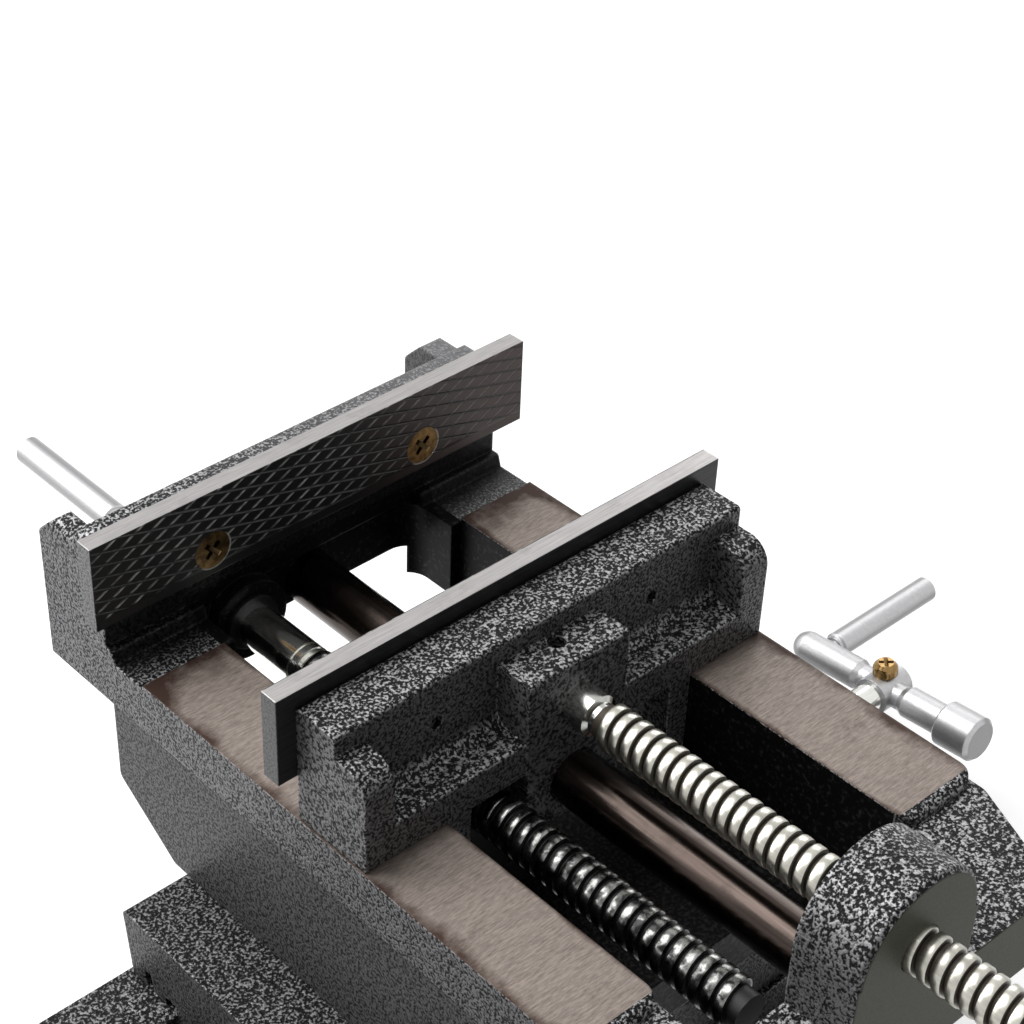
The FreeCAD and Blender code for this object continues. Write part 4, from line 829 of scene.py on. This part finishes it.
class VISE_OT_vise_screw(bpy.types.Operator):
    """Turns the vise screw with its helical thread and plain nose"""
    bl_idname = "vise.vise_screw"
    bl_label = "Vise screw"

    def execute(self, context):
        vise = context.scene.vise
        low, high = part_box("vise_screw")
        axis = middle("vise_screw")
        start = Vector((axis.x, high.y, axis.z))
        ahead = Vector((0, -1, 0))
        nose, nose_r, neck_r = 30.9 * MM, 6.0 * MM, 4.6 * MM
        neck_at = nose - 1.4 * MM
        neck_end = nose + 0.3 * MM
        shank, shank_r, key, key_r = 10.8 * MM, 5 * MM, 6.3 * MM, 4 * MM
        thread_length = high.y - low.y - nose - shank
        profile = [(0, 0), (0, nose_r - MM), (MM, nose_r), (nose - 2.2 * MM, nose_r), (neck_at, neck_r),
                   (neck_end, neck_r), (neck_end, 0)]
        nose_piece = turned("vise_screw_nose", profile, start, ahead, 48)
        tail = Vector((axis.x, low.y, axis.z))
        profile = [(0, 0), (0, key_r), (key, key_r), (key, shank_r), (shank, shank_r), (shank, 0)]
        tail_piece = turned("vise_screw_tail", profile, tail, -ahead, 40)
        pieces = thread_piece("vise_screw", vise.thread, VISE_SCREW_D, start + ahead * nose, ahead,
                              thread_length)
        ends = joined("vise_screw_ends", [nose_piece, tail_piece])
        piece = joined("vise_screw_turned", pieces)
        steel = bright_thread("vise_screw_steel", axis, (0, 1, 0), VISE_SCREW_D, vise)
        settle(piece, steel, "vise_screw_body", "bright_screw", "vise_screw")
        # The vise screw's ends take a darker copy of the bright shaft steel, as painted shade.
        shaft = shaft_material("vise_screw_shaft", TURNED_ALONG_Y, 0.5)
        settle(ends, shaft, "vise_screw_body", "bright_screw", "vise_screw")
        return {"FINISHED"}


class VISE_OT_long_screw(bpy.types.Operator):
    """Turns the long screw with its journal, ring grooves and helical thread"""
    bl_idname = "vise.long_screw"
    bl_label = "Long screw"

    def execute(self, context):
        vise = context.scene.vise
        low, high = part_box("long_screw")
        axis = middle("long_screw")
        start = Vector((axis.x, low.y, axis.z))
        ahead = Vector((0, 1, 0))
        thread_length = 159.5 * MM
        pieces = thread_piece("long_screw", vise.thread, SLIDE_SCREW_D, start, ahead,
                              thread_length + 0.7 * MM)
        journal_r, relief_r, soft_r, groove_r, shank_r, key_r = [r * MM for r in (6.5, 5.3, 6.2, 5.9, 5, 4)]
        rear = high.y - start.y - thread_length
        ring = rear - 34.2 * MM
        ring_end = ring + 1.2 * MM
        shank = rear - 15 * MM
        key = rear - 6.5 * MM
        profile = [(0, 0), (0, relief_r), (1.2 * MM, relief_r), (1.2 * MM, soft_r), (1.5 * MM, journal_r),
                   (3.5 * MM, journal_r), (3.8 * MM, soft_r), (3.8 * MM, groove_r), (4.3 * MM, groove_r),
                   (4.3 * MM, journal_r), (ring, journal_r), (ring, shank_r), (ring_end, shank_r),
                   (ring_end, journal_r), (shank, journal_r), (shank, shank_r), (key, shank_r),
                   (key, key_r), (rear, key_r), (rear, 0)]
        journal_piece = turned("long_screw_journal", profile, start + ahead * thread_length, ahead, 48)
        thread = joined("long_screw_thread", pieces)
        oiled = thread_material("long_screw_oiled", vise.metal.wet, vise.metal.oil, 0.24, axis, (0, 1, 0),
                                SLIDE_SCREW_D, vise.thread, wet=0.95)
        bright = shaft_material("long_screw_journal_steel", TURNED_ALONG_Y)
        settle(thread, oiled, "long_screw_body", "oiled_steel", "long_screw")
        settle(journal_piece, bright, "long_screw_body", "bright_screw", "long_screw")
        return {"FINISHED"}


class VISE_OT_cross_screw(bpy.types.Operator):
    """Turns the cross screw with its collar, journal and helical thread"""
    bl_idname = "vise.cross_screw"
    bl_label = "Cross screw"

    def execute(self, context):
        vise = context.scene.vise
        low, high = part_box("cross_screw")
        axis = middle("cross_screw")
        start = Vector((low.x, axis.y, axis.z))
        ahead = Vector((1, 0, 0))
        thread_length = 220.0 * MM
        pieces = thread_piece("cross_screw", vise.thread, SLIDE_SCREW_D, start, ahead, thread_length)
        collar, collar_r, journal_r, key_r = 5 * MM, 9 * MM, 5 * MM, 4 * MM
        rest = high.x - low.x - thread_length
        key = rest - 6.5 * MM
        profile = [(0, 0), (0, collar_r), (collar, collar_r), (collar, journal_r), (key, journal_r),
                   (key, key_r), (rest, key_r), (rest, 0)]
        end_piece = turned("cross_screw_end", profile, start + ahead * thread_length, ahead, 48)
        piece = joined("cross_screw_turned", pieces)
        steel = bright_thread("cross_screw_steel", axis, (1, 0, 0), SLIDE_SCREW_D, vise)
        settle(piece, steel, "cross_screw_body", "bright_screw", "cross_screw")
        shaft = shaft_material("cross_screw_shaft", TURNED_ALONG_X)
        settle(end_piece, shaft, "cross_screw_body", "bright_screw", "cross_screw")
        return {"FINISHED"}


class VISE_OT_cranks(bpy.types.Operator):
    """Finishes the three cranks"""
    bl_idname = "vise.cranks"
    bl_label = "Cranks"

    def execute(self, context):
        metal = context.scene.vise.metal
        satin = satin_material("crank_satin", metal.crank)
        brass = metal_material("crank_brass", metal.brass, 0.24, 0.25, edge_radius=0.3 * MM)
        for name in CRANKS:
            dress([name + "_crank_arm", name + "_crank_end_cap", name + "_crank_grip"], satin)
            dress([name + "_crank_lock_screw"], brass)
        return {"FINISHED"}


class VISE_OT_stage(bpy.types.Operator):
    """Sets the camera, the lamps, the world and the floor"""
    bl_idname = "vise.stage"
    bl_label = "Stage"

    def execute(self, context):
        scene = context.scene
        settings = scene.vise.stage
        scene.view_settings.view_transform = "Standard"
        self.camera(scene, settings)
        self.world(scene)
        self.floor(settings)
        for name, place, target, size, power in LAMPS:
            self.lamp(name, Vector(place), Vector(target), size, power)
        return {"FINISHED"}

    def camera(self, scene, settings):
        data = bpy.data.cameras.new("camera")
        camera = bpy.data.objects.new("camera", data)
        scene.collection.objects.link(camera)
        level = math.cos(settings.elevation)
        back = Vector((math.sin(settings.azimuth) * level, -math.cos(settings.azimuth) * level,
                       math.sin(settings.elevation)))
        turn = back.to_track_quat("Z", "Y").to_matrix().to_4x4() @ Matrix.Rotation(settings.roll, 4, "Z")
        camera.matrix_world = Matrix.Translation(Vector(settings.target) + back * settings.distance) @ turn
        data.sensor_width = 36.0
        data.lens = settings.lens
        data.shift_x = settings.shift[0]
        data.shift_y = settings.shift[1]
        data.clip_start = 0.01
        scene.camera = camera

    def world(self, scene):
        world = bpy.data.worlds.new("white_world")
        world.use_nodes = True
        world.node_tree.nodes.clear()
        shader = Shader(world.node_tree)
        path = shader.node("ShaderNodeLightPath").outputs
        seen = shader.math("ADD", path["Is Camera Ray"], path["Is Transmission Ray"], clamp=True)
        seen = shader.math("ADD", seen, path["Is Glossy Ray"], clamp=True)
        strength = shader.math("ADD", WORLD_DIFFUSE, shader.product(seen, 1.0 - WORLD_DIFFUSE))
        light = shader.node("ShaderNodeBackground", {"Color": (1, 1, 1, 1), "Strength": strength})
        out = shader.node("ShaderNodeOutputWorld")
        shader.tree.links.new(light.outputs[0], out.inputs[0])
        scene.world = world

    def floor(self, settings):
        deselect()
        bpy.ops.mesh.primitive_plane_add(size=8.0, location=(0, 0, -0.0004))
        floor = bpy.context.object
        floor.name = "floor"
        material, shader, surface = new_material("pale_floor")
        grain = shader.noise(shader.where(), 30.0, 2.0)
        tone = shader.mix(shader.product(grain, 0.1), rgba(settings.floor), rgba(settings.floor, 0.97))
        path = shader.node("ShaderNodeLightPath").outputs
        seen = shader.math("ADD", path["Is Camera Ray"], path["Is Glossy Ray"], clamp=True)
        shader.feed(surface, {"Base Color": tone, "Roughness": 0.9, "Emission Color": (1, 1, 1, 1),
                              "Emission Strength": shader.product(seen, FLOOR_GLOW)})
        floor.data.materials.append(material)

    def lamp(self, name, place, target, size, power):
        data = bpy.data.lights.new(name, "AREA")
        data.size = size
        data.energy = power
        lamp = bpy.data.objects.new(name, data)
        bpy.context.scene.collection.objects.link(lamp)
        turn = (place - target).to_track_quat("Z", "Y").to_matrix().to_4x4()
        lamp.matrix_world = Matrix.Translation(place) @ turn


class VISE_PT_panel(bpy.types.Panel):
    """Lists the pieces of the vise"""
    bl_idname = "VISE_PT_panel"
    bl_label = "Cross slide vise"
    bl_space_type = "VIEW_3D"
    bl_region_type = "UI"
    bl_category = "Vise"

    def draw(self, context):
        for operator in OPERATORS:
            self.layout.operator(operator.bl_idname)


SETTINGS = (PaintSettings, MetalSettings, KnurlSettings, ThreadSettings, StageSettings, ViseSettings)
OPERATORS = (VISE_OT_castings, VISE_OT_plates, VISE_OT_fasteners, VISE_OT_vise_screw, VISE_OT_long_screw,
             VISE_OT_cross_screw, VISE_OT_cranks, VISE_OT_stage)


def register():
    for item in SETTINGS + OPERATORS + (VISE_PT_panel,):
        bpy.utils.register_class(item)
    bpy.types.Scene.vise = bpy.props.PointerProperty(type=ViseSettings)


def unregister():
    del bpy.types.Scene.vise
    for item in reversed(SETTINGS + OPERATORS + (VISE_PT_panel,)):
        bpy.utils.unregister_class(item)


def main():
    register()
    bpy.ops.vise.castings()
    bpy.ops.vise.plates()
    bpy.ops.vise.fasteners()
    bpy.ops.vise.vise_screw()
    bpy.ops.vise.long_screw()
    bpy.ops.vise.cross_screw()
    bpy.ops.vise.cranks()
    bpy.ops.vise.stage()


if __name__ == "__main__":
    main()
